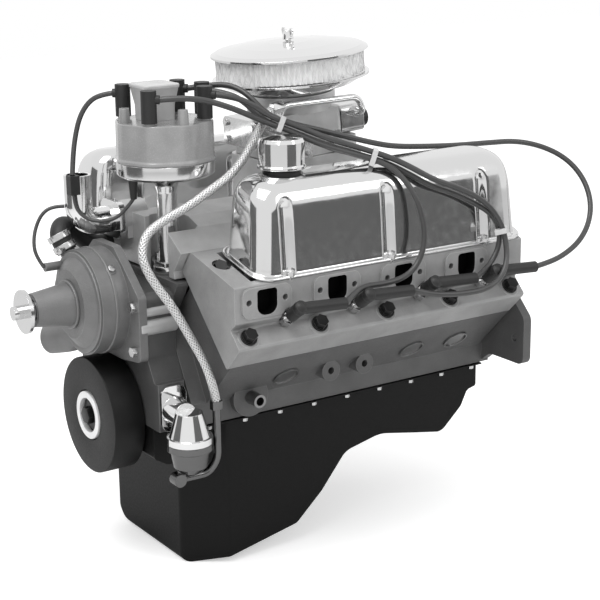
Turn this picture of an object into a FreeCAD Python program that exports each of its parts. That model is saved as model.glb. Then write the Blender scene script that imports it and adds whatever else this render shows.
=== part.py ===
import FreeCAD, Part
import math
import os

from FreeCAD import Vector

# A complete ninety-degree eight-cylinder petrol engine, dressed from carburettor to oil pan.
# Millimetres. The crankshaft lies along Y at x = 0, z = 0; its rear flange face is y = 0,
# -Y is the front of the engine, +X the driver's bank, +Z up.

# Cylinders
bore_spacing = 111.25
bore_radius = 50.8
stroke = 76.2
deck_height = 208.4
rear_bore_y = -109.35
bank_stagger = 22.2
bank_angle = 45.0
gasket_thickness = 1.2

# Crankshaft and camshaft
main_radius = 28.6
rod_journal_radius = 26.95
crank_flange_radius = 50.0
crank_flange_thickness = 12.0
crank_bolt_circle = 76.2
crank_bolt_hole_radius = 5.6
pilot_radius = 17.5
rear_seal_radius = 36.0
pilot_depth = 14.0
counterweight_radius = 68.0
cheek_thickness = 13.0
throw_angles = (45.0, 135.0, 315.0, 225.0)
cam_height = 111.0
cam_journal_radius = 26.0
cam_base_radius = 15.0
cam_lift = 7.0
cam_gear_tip = 24.2
distributor_gear_tip = 13.4
front_journal_length = 13.0
valve_offset = 16.0
running_clearance = 0.05
free_clearance = 0.4

# Block
block_front_y = -535.0
driver_bank_front_y = -512.5
bank_front_overhang = 22.2
bank_rear_y = -31.0
block_rear_y = -12.0
rail_half_width = 130.0
rail_inner_half_width = 106.0
bank_inner_w = 64.0
bank_outer_w = 71.0
main_web_thickness = 28.0
crankcase_radius = 96.0
bell_half_width = 226.0
bell_thickness = 14.0
bell_bolt_radius = 5.6
distributor_x = 38.0
distributor_y = -512.0
clamp_bolt_reach = 28.0
distributor_seat_z = 200.0
distributor_shank_radius = 13.7
oil_drive_radius = 4.0
bell_bolts = [(78, 198), (205, 56), (112, 12)]
side_pad_x = 166.0
side_pad_z = 52.0
mount_bolt_ys = (-330.0, -272.0)
filter_boss_x = 142.0
filter_boss_y = -448.0
filter_boss_z = 30.0
filter_boss_radius = 28.0

# Heads and covers, set out from the edge where the deck meets the bore axis
deck_rise = math.sqrt(0.5) * (deck_height + gasket_thickness)
head_length = 486.0
head_inner_w = 86.0
head_outer_w = 72.0
ledge_height = 48.0
head_bolt_w = 56.0
exhaust_face_x = deck_rise + 77.8
rail_outer_z = deck_rise + 64.8
rail_inner_x = deck_rise - 36.2
rail_inner_z = deck_rise + 91.8
port_lead = 27.8
port_z = deck_rise + 40.8
port_width = 31.0
port_height = 35.0
plug_offset = 6.0
plug_seat_x = deck_rise + 65.8
plug_seat_z = deck_rise + 5.8
plug_lean = 35.0
plug_reach = 45.0
boot_length = 71.0
boot_end_x = 253.0
boot_end_z = 176.0
spring_foot = 38.0
rocker_stud_w = -54.0
cover_length = 446.0
cover_top_z = deck_rise + 189.8
cover_wall = 2.0
filler_x = deck_rise + 1.8
filler_y = -397.0
filler_radius = 33.0

# Induction
carb_y = -275.0
carb_seat_z = deck_rise + 189.8
carb_pitch = 4.0
throttle_bore_radius = 20.0
choke_y = -24.0
choke_z = 74.5
cleaner_radius = 113.2
cleaner_element_radius = 107.5
cleaner_rim_height = 108.0
cleaner_element_height = 34.0

# Front of the engine
cover_depth = 45.0
damper_radius = 82.5
damper_front_y = -628.0
damper_back_y = -582.0
snout_radius = 17.5
damper_hub_radius = 24.0
seal_arch_radius = 44.0
pump_axis_z = 164.0
pump_hub_face_y = -717.0
pump_shaft_radius = 8.0
pump_bearing_radius = 16.5
pump_pilot_radius = 9.5
pump_pilot_length = 14.0
bypass_foot = (-46.0, -619.0, 212.0)
bypass_axis = (-0.35, -0.3, 0.85)
fuel_pump_x = 167.0
fuel_pump_y = -560.0
fuel_pump_radius = 31.0
fuel_pipe_radius = 5.5
neck_x = -52.0
neck_radius = 19.0
neck_reach = 58.0
neck_z = carb_seat_z - 76.0
neck_top_z = 330.0
hose_nipple_x = -81.0
hose_nipple_z = neck_z - 42.0

# Distributor
distributor_bowl_radius = 64.0
distributor_cap_radius = 69.0
distributor_cap_base_z = 335.0
distributor_cap_top_z = 409.0
coil_cover_top_z = 458.0
tower_circle = 58.0
boot_height = 43.0
boot_exit_z = 443.0

# Oil pan
pan_half_width = 122.0
pan_lip_half_width = 132.0
pan_wall = 2.5
pan_top_z = -1.5
sump_front_y = -531.0
sump_chamfer = 55.0
sump_chamfer_width = 43.0
sump_depth = 221.0

driver_bores = [rear_bore_y - bore_spacing * i for i in range(4)]
pair_centres = [y - bank_stagger / 2 for y in driver_bores]
mains = [pair_centres[0] + bore_spacing / 2 - bore_spacing * i for i in range(5)]
driver_head_centre = sum(driver_bores) / 4
deck_b = deck_height
head_b = deck_height + gasket_thickness


def cylinder(radius, length, base, axis=(0, 0, 1)):
    return Part.makeCylinder(radius, length, Vector(*base), Vector(*axis))


def cone(radius_1, radius_2, length, base, axis=(0, 0, 1)):
    return Part.makeCone(radius_1, radius_2, length, Vector(*base), Vector(*axis))


def tube(outer, inner, length, base, axis=(0, 0, 1)):
    return cylinder(outer, length, base, axis).cut(cylinder(inner, length, base, axis))


def box(x0, x1, y0, y1, z0, z1):
    return Part.makeBox(x1 - x0, y1 - y0, z1 - z0, Vector(x0, y0, z0))


def join(shapes):
    return shapes[0].multiFuse(shapes[1:]).removeSplitter()


def group(shapes):
    return Part.makeCompound(shapes)


def corner_arc(before, corner, after, radius):
    """Edge that rounds one corner, with its two ends."""
    to_before = (before - corner).normalize()
    to_after = (after - corner).normalize()
    half = to_before.getAngle(to_after) / 2
    reach = radius / math.tan(half)
    middle = (to_before + to_after).normalize() * (radius / math.sin(half) - radius)
    start, end = corner + to_before * reach, corner + to_after * reach
    return Part.Arc(start, corner + middle, end).toShape(), start, end


def rounded_face(points, radii):
    """Flat face whose corners have the given radii, one radius for all or one each."""
    count = len(points)
    radii = radii if isinstance(radii, (list, tuple)) else [radii] * count
    arcs = []
    for i, corner in enumerate(points):
        if radii[i] > 0:
            arcs.append(corner_arc(points[i - 1], corner, points[(i + 1) % count], radii[i]))
        else:
            arcs.append((None, corner, corner))
    edges = []
    for i, (arc, start, end) in enumerate(arcs):
        if arc:
            edges.append(arc)
        following = arcs[(i + 1) % count][1]
        if end.distanceToPoint(following) > 1e-6:
            edges.append(Part.LineSegment(end, following).toShape())
    return Part.Face(Part.Wire(Part.__sortEdges__(edges)))


def prism_y(outline, y0, y1, radii=0):
    """Outline in x and z, swept from y0 to y1."""
    points = [Vector(x, y0, z) for x, z in outline]
    return rounded_face(points, radii).extrude(Vector(0, y1 - y0, 0))


def prism_x(outline, x0, x1, radii=0):
    """Outline in y and z, swept from x0 to x1."""
    points = [Vector(x0, y, z) for y, z in outline]
    return rounded_face(points, radii).extrude(Vector(x1 - x0, 0, 0))


def prism_z(outline, z0, z1, radii=0):
    """Outline in x and y, swept from z0 to z1."""
    points = [Vector(x, y, z0) for x, y in outline]
    return rounded_face(points, radii).extrude(Vector(0, 0, z1 - z0))


def turned(profile, base=(0, 0, 0), axis=(0, 0, 1)):
    """Solid of revolution from radius and height pairs, stood on the base along the axis."""
    points = [Vector(r, 0, h) for r, h in profile]
    face = Part.Face(Part.makePolygon(points + [points[0]]))
    solid = face.revolve(Vector(0, 0, 0), Vector(0, 0, 1), 360)
    solid.Placement = FreeCAD.Placement(Vector(*base), FreeCAD.Rotation(Vector(0, 0, 1), Vector(*axis)))
    return solid


def hexagon(across_flats, height, base, axis=(0, 0, 1)):
    corner = across_flats / math.sqrt(3)
    points = [Vector(corner * math.cos(math.radians(a)), corner * math.sin(math.radians(a)), 0)
              for a in range(0, 360, 60)]
    solid = Part.Face(Part.makePolygon(points + [points[0]])).extrude(Vector(0, 0, height))
    solid.Placement = FreeCAD.Placement(Vector(*base), FreeCAD.Rotation(Vector(0, 0, 1), Vector(*axis)))
    return solid


def bolt(shank, length, across_flats, head, seat, axis):
    """Hexagon bolt whose head sits on the seat and whose shank runs back along the axis."""
    back = Vector(*seat) - Vector(*axis).normalize() * length
    return join([cylinder(shank, length + 0.5, tuple(back), axis),
                 hexagon(across_flats, head, seat, axis)])


def tilted(shape):
    """From the bank's own frame, w across and b along the bores, to the driver's bank."""
    return shape.rotated(Vector(0, 0, 0), Vector(0, 1, 0), bank_angle)


def other_bank(shape):
    """The same casting turned end for end for the passenger's bank."""
    turned_shape = shape.rotated(Vector(0, driver_head_centre, 0), Vector(0, 0, 1), 180)
    return turned_shape.translated(Vector(0, -bank_stagger, 0))


def bank_point(w, y, b):
    c = math.sqrt(0.5)
    return (c * (b + w), y, c * (b - w))


def carried(shape):
    """From the carburettor's own frame to its pitched seat on the manifold."""
    pitched = shape.rotated(Vector(0, 0, 0), Vector(1, 0, 0), carb_pitch)
    return pitched.translated(Vector(0, carb_y, carb_seat_z))


def crankcase_bays():
    """Room for the throws between the main webs."""
    bays = []
    for front, rear in zip(mains[1:], mains[:-1]):
        y0 = front + main_web_thickness / 2
        y1 = rear - main_web_thickness / 2
        throw_room = cylinder(crankcase_radius, y1 - y0, (0, y0, 0), (0, 1, 0))
        legs = box(-rail_inner_half_width, rail_inner_half_width, y0, y1, -2, 40)
        bays.append(throw_room.fuse(legs))
    return bays


def bank_block(front_y, rear_y):
    outline = [(-bank_inner_w, 100), (bank_outer_w, 104), (bank_outer_w, deck_b), (-bank_inner_w, deck_b)]
    return tilted(prism_y(outline, front_y, rear_y))


def engine_block():
    outline = [(-rail_half_width, 0), (rail_half_width, 0), (rail_half_width, 32), (64, 150),
               (-64, 150), (-rail_half_width, 32)]
    core = prism_y(outline, block_front_y, block_rear_y)
    driver = bank_block(driver_bank_front_y, bank_rear_y)
    passenger = bank_block(driver_bank_front_y - bank_front_overhang, bank_rear_y - bank_front_overhang)
    passenger = passenger.mirror(Vector(0, 0, 0), Vector(1, 0, 0))
    wall = [(-62, 140), (62, 140), (100, 192), (100, 196), (-100, 196), (-100, 192)]
    front_wall = prism_y(wall, block_front_y, block_front_y + 18)
    rear_wall = prism_y(wall, block_rear_y - 19, block_rear_y)
    boss = join([cylinder(23, distributor_seat_z - 130, (distributor_x, distributor_y, 130)),
                 cylinder(10, distributor_seat_z - 140, (distributor_x - clamp_bolt_reach, distributor_y, 140))])
    body = join([core, driver, passenger, front_wall, rear_wall, boss, bell_flange()]
                + side_bosses())
    tools = crankcase_bays()
    tools.append(cylinder(main_radius + 2.4, 600, (0, block_front_y - 1, 0), (0, 1, 0)))
    tools.append(cylinder(crank_flange_radius + 2, 20, (0, block_rear_y - 2, 0), (0, 1, 0)))
    tools.append(cylinder(cam_journal_radius + running_clearance, block_rear_y - 8 - block_front_y,
                          (0, block_front_y - 1, cam_height), (0, 1, 0)))
    tools.append(cylinder(distributor_shank_radius + 0.3, 120, (distributor_x, distributor_y, cam_height - 15)))
    tools.append(cylinder(oil_drive_radius + 1, 120, (distributor_x, distributor_y, -10)))
    tools.append(cylinder(3.2, 20, (distributor_x - clamp_bolt_reach, distributor_y, distributor_seat_z - 18)))
    tools += [tilted(cylinder(bore_radius, deck_b, (0, y, 75), (0, 0, 1))) for y in driver_bores]
    tools += [other_bank(tilted(cylinder(bore_radius, deck_b, (0, y, 75)))) for y in driver_bores]
    tools += [cylinder(11.2, 60, p, d) for p, d in lifter_bores()]
    tools += [cylinder(r, d, p, a) for p, a, r, d in block_tappings()]
    return body.cut(tools)


def bell_flange():
    """Arched rear flange that the gearbox housing bolts to."""
    half = [(rail_half_width - 4, 0), (150, 18), (bell_half_width, 18), (bell_half_width, 90),
            (150, 165), (92, 214)]
    outline = half + [(-x, z) for x, z in reversed(half)]
    return prism_y(outline, block_rear_y - bell_thickness, block_rear_y,
                   [0, 20, 12, 16, 30, 20, 20, 30, 16, 12, 20, 0])


def block_tappings():
    """Threaded holes that are open to the outside: base, direction out, radius and depth."""
    holes = []
    for x, z in bell_bolts:
        for side in (-1, 1):
            holes.append(((side * x, block_rear_y - bell_thickness - 1, z), (0, 1, 0),
                          bell_bolt_radius, bell_thickness + 2))
    for y in mount_bolt_ys:
        for side in (-1, 1):
            holes.append(((side * (side_pad_x - 20), y, side_pad_z), (side, 0, 0), 5.1, 22))
    return holes


def side_bosses():
    """Engine-mount pads on both sides and the oil-filter pad on the driver's side."""
    bosses = []
    for side in (-1, 1):
        for y in mount_bolt_ys:
            bosses.append(cylinder(15, 70, (side * (side_pad_x - 70), y, side_pad_z), (side, 0, 0)))
    bosses.append(cylinder(filter_boss_radius, 60, (filter_boss_x - 60, filter_boss_y, filter_boss_z),
                           (1, 0, 0)))
    return bosses


def lifter_bores():
    """Start point and direction of every lifter bore, sixteen in two rows."""
    rows = []
    c = math.sqrt(0.5)
    for y in driver_bores:
        for dy in (-valve_offset, valve_offset):
            rows.append(((20 * c, y + dy, cam_height + 20 * c), (c, 0, c)))
            mirrored_y = 2 * driver_head_centre - (y + dy) - bank_stagger
            rows.append(((-20 * c, mirrored_y, cam_height + 20 * c), (-c, 0, c)))
    return rows


def main_bearing_caps():
    """Five caps with their bolts, the bearing shells and the rear seal's half carrier."""
    parts = []
    bolt_x = 52
    for y in mains:
        y0 = y - main_web_thickness / 2 + 1
        y1 = y + main_web_thickness / 2 - 1
        cap = prism_y([(-64, 0), (64, 0), (64, -30), (40, -30), (36, -50), (-36, -50), (-40, -30),
                       (-64, -30)], y0, y1, [0, 0, 4, 2, 6, 6, 2, 4])
        holes = [cylinder(main_radius + 2.4, 40, (0, y0 - 2, 0), (0, 1, 0)),
                 cylinder(oil_drive_radius + 1, 60, (distributor_x, distributor_y, -55))]
        holes += [cylinder(6, 60, (x, y, -55)) for x in (-bolt_x, bolt_x)]
        parts.append(cap.cut(holes))
        parts.append(tube(main_radius + 2.4, main_radius + running_clearance, y1 - y0, (0, y0, 0), (0, 1, 0)))
        for x in (-bolt_x, bolt_x):
            parts.append(cylinder(5.8, 30, (x, y, -30)))
            parts.append(hexagon(17, 10, (x, y, -40)))
    seal_y = mains[0] + main_web_thickness / 2
    carrier = tube(rear_seal_radius, main_radius + running_clearance, 22, (0, seal_y, 0), (0, 1, 0))
    parts.append(carrier.common(box(-60, 60, seal_y, seal_y + 22, -60, 0)))
    return group(parts)


def throw_centre(angle):
    a = math.radians(angle)
    return math.sin(a) * stroke / 2, math.cos(a) * stroke / 2


def crank_web(y0, angle):
    """One cheek with its counterweight opposite the throw."""
    x, z = throw_centre(angle)
    pin_side = cylinder(34, cheek_thickness, (x * 0.9, y0, z * 0.9), (0, 1, 0))
    hub = cylinder(38, cheek_thickness, (0, y0, 0), (0, 1, 0))
    disc = cylinder(counterweight_radius, cheek_thickness, (0, y0, 0), (0, 1, 0))
    half = box(-100, 100, y0, y0 + cheek_thickness, -100, -4)
    sector = disc.common(half.rotated(Vector(0, 0, 0), Vector(0, 1, 0), angle))
    return join([pin_side, hub, sector])


def crankshaft():
    """Forged crankshaft with four throws, five mains, the flange, the snout and its sprocket."""
    front = mains[-1] - main_web_thickness / 2 - 4
    parts = [cylinder(snout_radius, front - damper_front_y - 14, (0, damper_front_y + 14, 0), (0, 1, 0))]
    parts.append(cylinder(main_radius, main_web_thickness + 6, (0, front, 0), (0, 1, 0)))
    parts.append(cylinder(main_radius, -crank_flange_thickness - (mains[0] - 16),
                          (0, mains[0] - 16, 0), (0, 1, 0)))
    for y in mains[1:-1]:
        parts.append(cylinder(main_radius, main_web_thickness + 6,
                              (0, y - main_web_thickness / 2 - 3, 0), (0, 1, 0)))
    for centre, angle in zip(pair_centres, throw_angles):
        x, z = throw_centre(angle)
        pin_half = bore_spacing / 2 - main_web_thickness / 2 - cheek_thickness - 1
        parts.append(cylinder(rod_journal_radius, 2 * pin_half + 2, (x, centre - pin_half - 1, z), (0, 1, 0)))
        parts.append(crank_web(centre - pin_half - cheek_thickness, angle))
        parts.append(crank_web(centre + pin_half, angle))
    parts.append(cylinder(crank_flange_radius, crank_flange_thickness,
                          (0, -crank_flange_thickness, 0), (0, 1, 0)))
    parts.append(toothed_wheel(26.0, 21, 9, (0, block_front_y - 20, 0)))
    body = join(parts)
    holes = [cylinder(pilot_radius, pilot_depth, (0, -pilot_depth, 0), (0, 1, 0))]
    for i in range(6):
        a = math.radians(60 * i)
        x, z = crank_bolt_circle / 2 * math.cos(a), crank_bolt_circle / 2 * math.sin(a)
        holes.append(cylinder(crank_bolt_hole_radius, crank_flange_thickness + 12,
                              (x, -crank_flange_thickness - 12, z), (0, 1, 0)))
    holes.append(cylinder(8, 50, (0, damper_front_y + 13, 0), (0, 1, 0)))
    return body.cut(holes)


def toothed_wheel(root_radius, teeth, width, base, tooth=4.5):
    """Sprocket or gear with plain wedge teeth, its axis along Y."""
    x, y, z = base
    points = []
    tip_radius = root_radius + tooth
    for i in range(teeth):
        for share, radius in ((-0.32, root_radius), (-0.12, tip_radius), (0.12, tip_radius),
                              (0.32, root_radius)):
            a = 2 * math.pi * (i + share) / teeth
            points.append(Vector(x + radius * math.cos(a), y, z + radius * math.sin(a)))
    return Part.Face(Part.makePolygon(points + [points[0]])).extrude(Vector(0, width, 0))


def camshaft():
    """Five journals, sixteen lobes, the distributor drive gear and the chain wheel."""
    tunnel_front = block_front_y - 6
    shaft = cylinder(12, -60 - tunnel_front, (0, tunnel_front, cam_height), (0, 1, 0))
    parts = [shaft]
    for y in mains[:-1]:
        parts.append(cylinder(cam_journal_radius, 20, (0, y - 10, cam_height), (0, 1, 0)))
    parts.append(cylinder(cam_journal_radius, front_journal_length, (0, block_front_y + 1, cam_height),
                          (0, 1, 0)))
    for i, (start, direction) in enumerate(lifter_bores()):
        lobe_angle = math.radians(90 * i + 20)
        x, z = cam_lift * math.sin(lobe_angle), cam_lift * math.cos(lobe_angle)
        y = start[1] - 6
        parts.append(cylinder(cam_base_radius, 12, (0, y, cam_height), (0, 1, 0)))
        parts.append(cylinder(cam_base_radius - 2, 12, (x, y, cam_height + z), (0, 1, 0)))
    gear = toothed_wheel(cam_gear_tip - 3, 13, 13, (0, distributor_y - 6.5, cam_height), 3)
    return join(parts + [gear, cam_sprocket()])


def cam_sprocket():
    wheel = toothed_wheel(55.0, 42, 9, (0, block_front_y - 20, cam_height))
    hub = cylinder(22, 18, (0, block_front_y - 24, cam_height), (0, 1, 0))
    windows = []
    for i in range(6):
        a = math.radians(60 * i + 30)
        x, z = 38 * math.cos(a), 38 * math.sin(a)
        windows.append(cylinder(8, 20, (x, block_front_y - 25, cam_height + z), (0, 1, 0)))
    return wheel.fuse(hub).cut(windows)


def timing_chain():
    """Closed loop round both sprockets, drawn as one band clear of the teeth."""
    y0 = block_front_y - 22
    inner = chain_loop(26.0 + 5.0, 55.0 + 5.0, y0, 13)
    outer = chain_loop(26.0 + 10.0, 55.0 + 10.0, y0, 13)
    return outer.cut(inner)


def chain_loop(low_radius, high_radius, y0, width):
    low = cylinder(low_radius, width, (0, y0, 0), (0, 1, 0))
    high = cylinder(high_radius, width, (0, y0, cam_height), (0, 1, 0))
    lean = math.asin((high_radius - low_radius) / cam_height)
    c, s = math.cos(lean), math.sin(lean)
    sides = [(low_radius * c, -low_radius * s), (high_radius * c, cam_height - high_radius * s),
             (-high_radius * c, cam_height - high_radius * s), (-low_radius * c, -low_radius * s)]
    return join([low, high, prism_y(sides, y0, y0 + width)])


def piston_crown_b():
    """Piston height at a throw forty-five degrees off dead centre."""
    return deck_b - 1.0 - stroke / 2


def pistons():
    """Eight slipper-skirt pistons with their pins, all near mid stroke."""
    parts = []
    crown = piston_crown_b()
    body = cylinder(bore_radius - running_clearance, 44, (0, 0, crown - 44))
    grooves = [tube(bore_radius + 1, bore_radius - 3, 1.6, (0, 0, crown - h)) for h in (9, 14, 20)]
    hollow = cylinder(bore_radius - 8, 30, (0, 0, crown - 45))
    slots = [box(-60, 60, sign * 45 - 14, sign * 45 + 14, crown - 45, crown - 24) for sign in (-1, 1)]
    pin_bore = cylinder(11.6, 120, (0, -60, crown - 30), (0, 1, 0))
    piston = body.cut(grooves + [hollow] + slots)
    bosses = [box(-17, 17, sign * 30 - 9, sign * 30 + 9, crown - 42, crown - 8) for sign in (-1, 1)]
    piston = join([piston] + bosses).cut(pin_bore)
    pin = tube(11.6, 6, 76, (0, -38, crown - 30), (0, 1, 0))
    for y in driver_bores:
        for shape in (piston, pin):
            placed = tilted(shape.translated(Vector(0, y, 0)))
            parts.append(placed)
            parts.append(other_bank(placed))
    return group(parts)


def connecting_rods():
    """Eight forged rods from the throws to the piston pins."""
    parts = []
    pin_height = piston_crown_b() - 30
    for i, y in enumerate(driver_bores):
        for side in (1, -1):
            x, z = throw_centre(throw_angles[i])
            rod_y = y if side > 0 else y - bank_stagger
            c = math.sqrt(0.5) * pin_height
            parts.append(rod_between(Vector(x, rod_y, z), Vector(side * c, rod_y, c)))
    return group(parts)


def rod_between(big, small):
    length = (small - big).Length
    along = (small - big).normalize()
    big_end = cylinder(39, 19, (0, -9.5, 0), (0, 1, 0))
    shoulder = box(-39, 39, -9.5, 9.5, -12, 14)
    small_end = cylinder(14.5, 24, (0, -12, length), (0, 1, 0))
    beam = prism_y([(-17, 20), (17, 20), (12, length - 8), (-12, length - 8)], -7, 7)
    flutes = [prism_y([(-8, 44), (8, 44), (5, length - 26), (-5, length - 26)], y0, y1)
              for y0, y1 in ((-8, -3), (3, 8))]
    shape = join([big_end, shoulder, small_end, beam]).cut(flutes)
    shape = shape.cut([cylinder(rod_journal_radius + running_clearance, 40, (0, -20, 0), (0, 1, 0)),
                       cylinder(11.6 + running_clearance, 40, (0, -20, length), (0, 1, 0))])
    lean = math.degrees(math.atan2(along.x, along.z))
    return shape.rotated(Vector(0, 0, 0), Vector(0, 1, 0), lean).translated(big)


def lifters_and_pushrods():
    """Solid of each lifter standing on its lobe's highest reach, and the pushrod above it."""
    parts = []
    reach = cam_base_radius + cam_lift + free_clearance
    for start, direction in lifter_bores():
        d = Vector(*direction)
        centre = Vector(0, start[1], cam_height)
        foot = centre + d * reach
        parts.append(cylinder(11.1, 50, tuple(foot), direction))
        side = 1 if direction[0] > 0 else -1
        cup = foot + d * 50
        seat = rocker_seat(start[1], side)
        lift = (seat - cup).normalize() * 0.8
        parts.append(cylinder(4, (seat - cup).Length - 0.8, tuple(cup + lift), tuple(seat - cup)))
    return group(parts)


def rocker_seat(y, side):
    x, _, z = bank_point(-70.0, y, deck_b + 72.0)
    return Vector(side * x, y, z)


def main_head_section():
    """Head casting outline in x and z for the driver's bank."""
    def flat(w, b):
        x, _, z = bank_point(w, 0, b)
        return x, z
    ledge_b = head_b + ledge_height
    return [flat(-head_inner_w, head_b), flat(head_outer_w, head_b), flat(head_outer_w, ledge_b),
            flat(40, ledge_b), (exhaust_face_x - 3, port_z - 25), (exhaust_face_x - 3, rail_outer_z),
            (rail_inner_x, rail_inner_z)]


head_front_y = driver_head_centre - head_length / 2
head_rear_y = driver_head_centre + head_length / 2
port_ys = [y - port_lead for y in driver_bores]
head_bolt_ys = [driver_bores[0] + bore_spacing / 2 - bore_spacing * i for i in range(5)]


def port_outline(y, grow=0.0):
    """Exhaust port mouth in y and z, square shouldered with a round foot."""
    half_w = port_width / 2 + grow
    half_h = port_height / 2 + grow
    return [(y - half_w, port_z - half_h), (y + half_w, port_z - half_h),
            (y + half_w, port_z + half_h), (y - half_w, port_z + half_h)]


def cylinder_head():
    """Driver's head with ports, flange pads, rocker tray, bolt holes and plug seats."""
    body = prism_y(main_head_section(), head_front_y, head_rear_y, [3, 3, 4, 3, 3, 3, 3])
    pads = []
    for y in port_ys:
        outline = [(y - 38, port_z - 20), (y + 38, port_z - 20), (y + 38, port_z + 21), (y - 38, port_z + 21)]
        pads.append(prism_x(outline, exhaust_face_x - 12, exhaust_face_x, 12))
    for y in head_bolt_ys:
        base = bank_point(head_bolt_w, y, head_b + 20)
        pads.append(cylinder(15, ledge_height - 19, base, (1, 0, 1)))
    body = join([body] + pads)
    tools = []
    for y in port_ys:
        tools.append(prism_x(port_outline(y), exhaust_face_x - 46, exhaust_face_x + 1, [13, 13, 5, 5]))
        for dy in (-28, 28):
            tools.append(cylinder(4.2, 20, (exhaust_face_x - 18, y + dy, port_z + 2), (1, 0, 0)))
    tray_outer, tray_inner = exhaust_face_x - 14, rail_inner_x + 12
    tray = [(tray_inner, rail_inner_z + 6), (tray_inner, rail_inner_z - 24),
            (tray_outer, rail_outer_z - 16), (tray_outer, rail_outer_z + rail_slope() * 11 + 6)]
    tools.append(prism_y(tray, head_front_y + 32, head_rear_y - 14, [0, 6, 6, 0]))
    for y in driver_bores:
        tools.append(tilted(cone(42, 36, 12, (0, y, head_b - 0.01))))
        tools.append(plug_seat_tool(y))
    for y in head_bolt_ys:
        for w in (head_bolt_w, -50):
            tools.append(cylinder(6.4, 160, bank_point(w, y, head_b - 1), (1, 0, 1)))
        tools.append(cylinder(12.5, 60, bank_point(-50, y, head_b + 52), (1, 0, 1)))
    tools += cover_bolt_holes(3.5)
    tools += valve_tools() + pushrod_tools()
    return body.cut(tools)


def plug_axis(y):
    """Spark plug seat centre and outward direction on the driver's head."""
    lean = math.radians(plug_lean)
    return Vector(plug_seat_x, y + plug_offset, plug_seat_z), Vector(math.cos(lean), 0.0, math.sin(lean))


def plug_seat_tool(y):
    seat, out = plug_axis(y)
    well = cylinder(11, 40, tuple(seat), tuple(out))
    hole = cylinder(7.1, 30, tuple(seat - out * 29), tuple(out))
    return well.fuse(hole)


def valve_lines():
    """Foot, axis and length of each valve on the driver's head."""
    lines = []
    for start, direction in lifter_bores():
        if direction[0] > 0:
            foot = Vector(*bank_point(-8, start[1], head_b + 13))
            tip = Vector(*bank_point(-36, start[1], head_b + 89.5))
            lines.append((foot, (tip - foot).normalize(), (tip - foot).Length))
    return lines


def valve_tools():
    """Guide bores, spring pockets and rocker stud holes."""
    tools = []
    for foot, axis, length in valve_lines():
        tools.append(cylinder(4.35, length, tuple(foot - axis * 2), tuple(axis)))
        tools.append(cylinder(14.2, 70, tuple(foot + axis * spring_foot), tuple(axis)))
        tools.append(tilted(cylinder(4.5, 60, (rocker_stud_w, foot.y, head_b + 30))))
    return tools


def pushrod_tools():
    tools = []
    for start, direction in lifter_bores():
        if direction[0] > 0:
            seat = rocker_seat(start[1], 1)
            foot = Vector(0, start[1], cam_height) + Vector(*direction) * (cam_base_radius + cam_lift + 50)
            tools.append(cylinder(6.5, (seat - foot).Length + 30, tuple(foot), tuple(seat - foot)))
    return tools


def head_gaskets():
    outline = [(-head_inner_w + 20, head_front_y + 2), (head_outer_w - 2, head_front_y + 2),
               (head_outer_w - 2, head_rear_y - 2), (-head_inner_w + 20, head_rear_y - 2)]
    sheet = prism_z(outline, deck_b, head_b, 6)
    holes = [cylinder(bore_radius + 1, 4, (0, y, deck_b - 1)) for y in driver_bores]
    holes += [cylinder(6.4, 4, (w, y, deck_b - 1)) for y in head_bolt_ys for w in (head_bolt_w, -50)]
    gasket = tilted(sheet.cut(holes))
    return group([gasket, other_bank(gasket)])


def head_bolts():
    """Ten bolts a head: the lower row in the open, the upper row under the cover."""
    parts = []
    for y in head_bolt_ys:
        for w, b in ((head_bolt_w, head_b + ledge_height + 1), (-50, head_b + 52)):
            seat = bank_point(w, y, b)
            washer = cylinder(11.5, 2.5, seat, (1, 0, 1))
            up = tuple(Vector(*seat) + Vector(1, 0, 1).normalize() * 2.5)
            parts.append(join([washer, hexagon(16.5, 9, up, (1, 0, 1)),
                               cylinder(6.2, b - deck_b, bank_point(w, y, deck_b), (1, 0, 1))]))
    return group(parts + [other_bank(p) for p in parts])


def valve_gear():
    """Valves with their springs and retainers: stems lean inward from the bore axis."""
    parts = []
    for foot, axis, length in valve_lines():
        parts.append(cylinder(4.3, length, tuple(foot), tuple(axis)))
        parts.append(tube(13, 9.5, 32, tuple(foot + axis * spring_foot), tuple(axis)))
        parts.append(tube(13.5, 4.3, 4, tuple(foot + axis * (spring_foot + 32)), tuple(axis)))
    return group(parts + [other_bank(p) for p in parts])


def rocker_arms():
    """Stud-mounted rockers, each on its own stud."""
    parts = []
    for foot, axis, length in valve_lines():
        y = foot.y
        outline = [(-77, head_b + 73), (-54, head_b + 80), (-31, head_b + 93.5),
                   (-31, head_b + 101), (-56, head_b + 96), (-77, head_b + 82)]
        arm = prism_y(outline, y - 9, y + 9, [3, 0, 2, 3, 4, 3])
        parts.append(tilted(arm.cut(cylinder(4.5, 60, (rocker_stud_w, y, head_b + 50)))))
        parts.append(tilted(cylinder(4.5, 70, (rocker_stud_w, y, head_b + 30))))
    return group(parts + [other_bank(p) for p in parts])


cover_front_y = head_front_y + 42
cover_rear_y = cover_front_y + cover_length
flute_ys = [cover_front_y + 46 + 165 * i for i in range(3)]


def rail_slope():
    return (rail_inner_z - rail_outer_z) / (exhaust_face_x - 3 - rail_inner_x)


def rail_z(x):
    """Height of the cover's sloping gasket rail."""
    return rail_outer_z + rail_slope() * (exhaust_face_x - 3 - x)


def cover_outline(inset, drop):
    outer, inner = exhaust_face_x - 8, rail_inner_x + 10
    return [(outer - inset, rail_z(outer) - drop), (outer - 7 - inset, cover_top_z - 32),
            (outer - 32, cover_top_z - inset), (inner + 22, cover_top_z + 5 - inset),
            (inner + 4 + inset, cover_top_z - 20 - inset), (inner + inset, rail_z(inner) - drop)]


def flute(y, radius):
    foot_x = exhaust_face_x - 4
    low = Vector(foot_x, y, rail_z(foot_x) + 2)
    high = Vector(foot_x - 16, y, cover_top_z + 10)
    return cone(radius, radius + 9, (high - low).Length, tuple(low), tuple(high - low))


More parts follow.
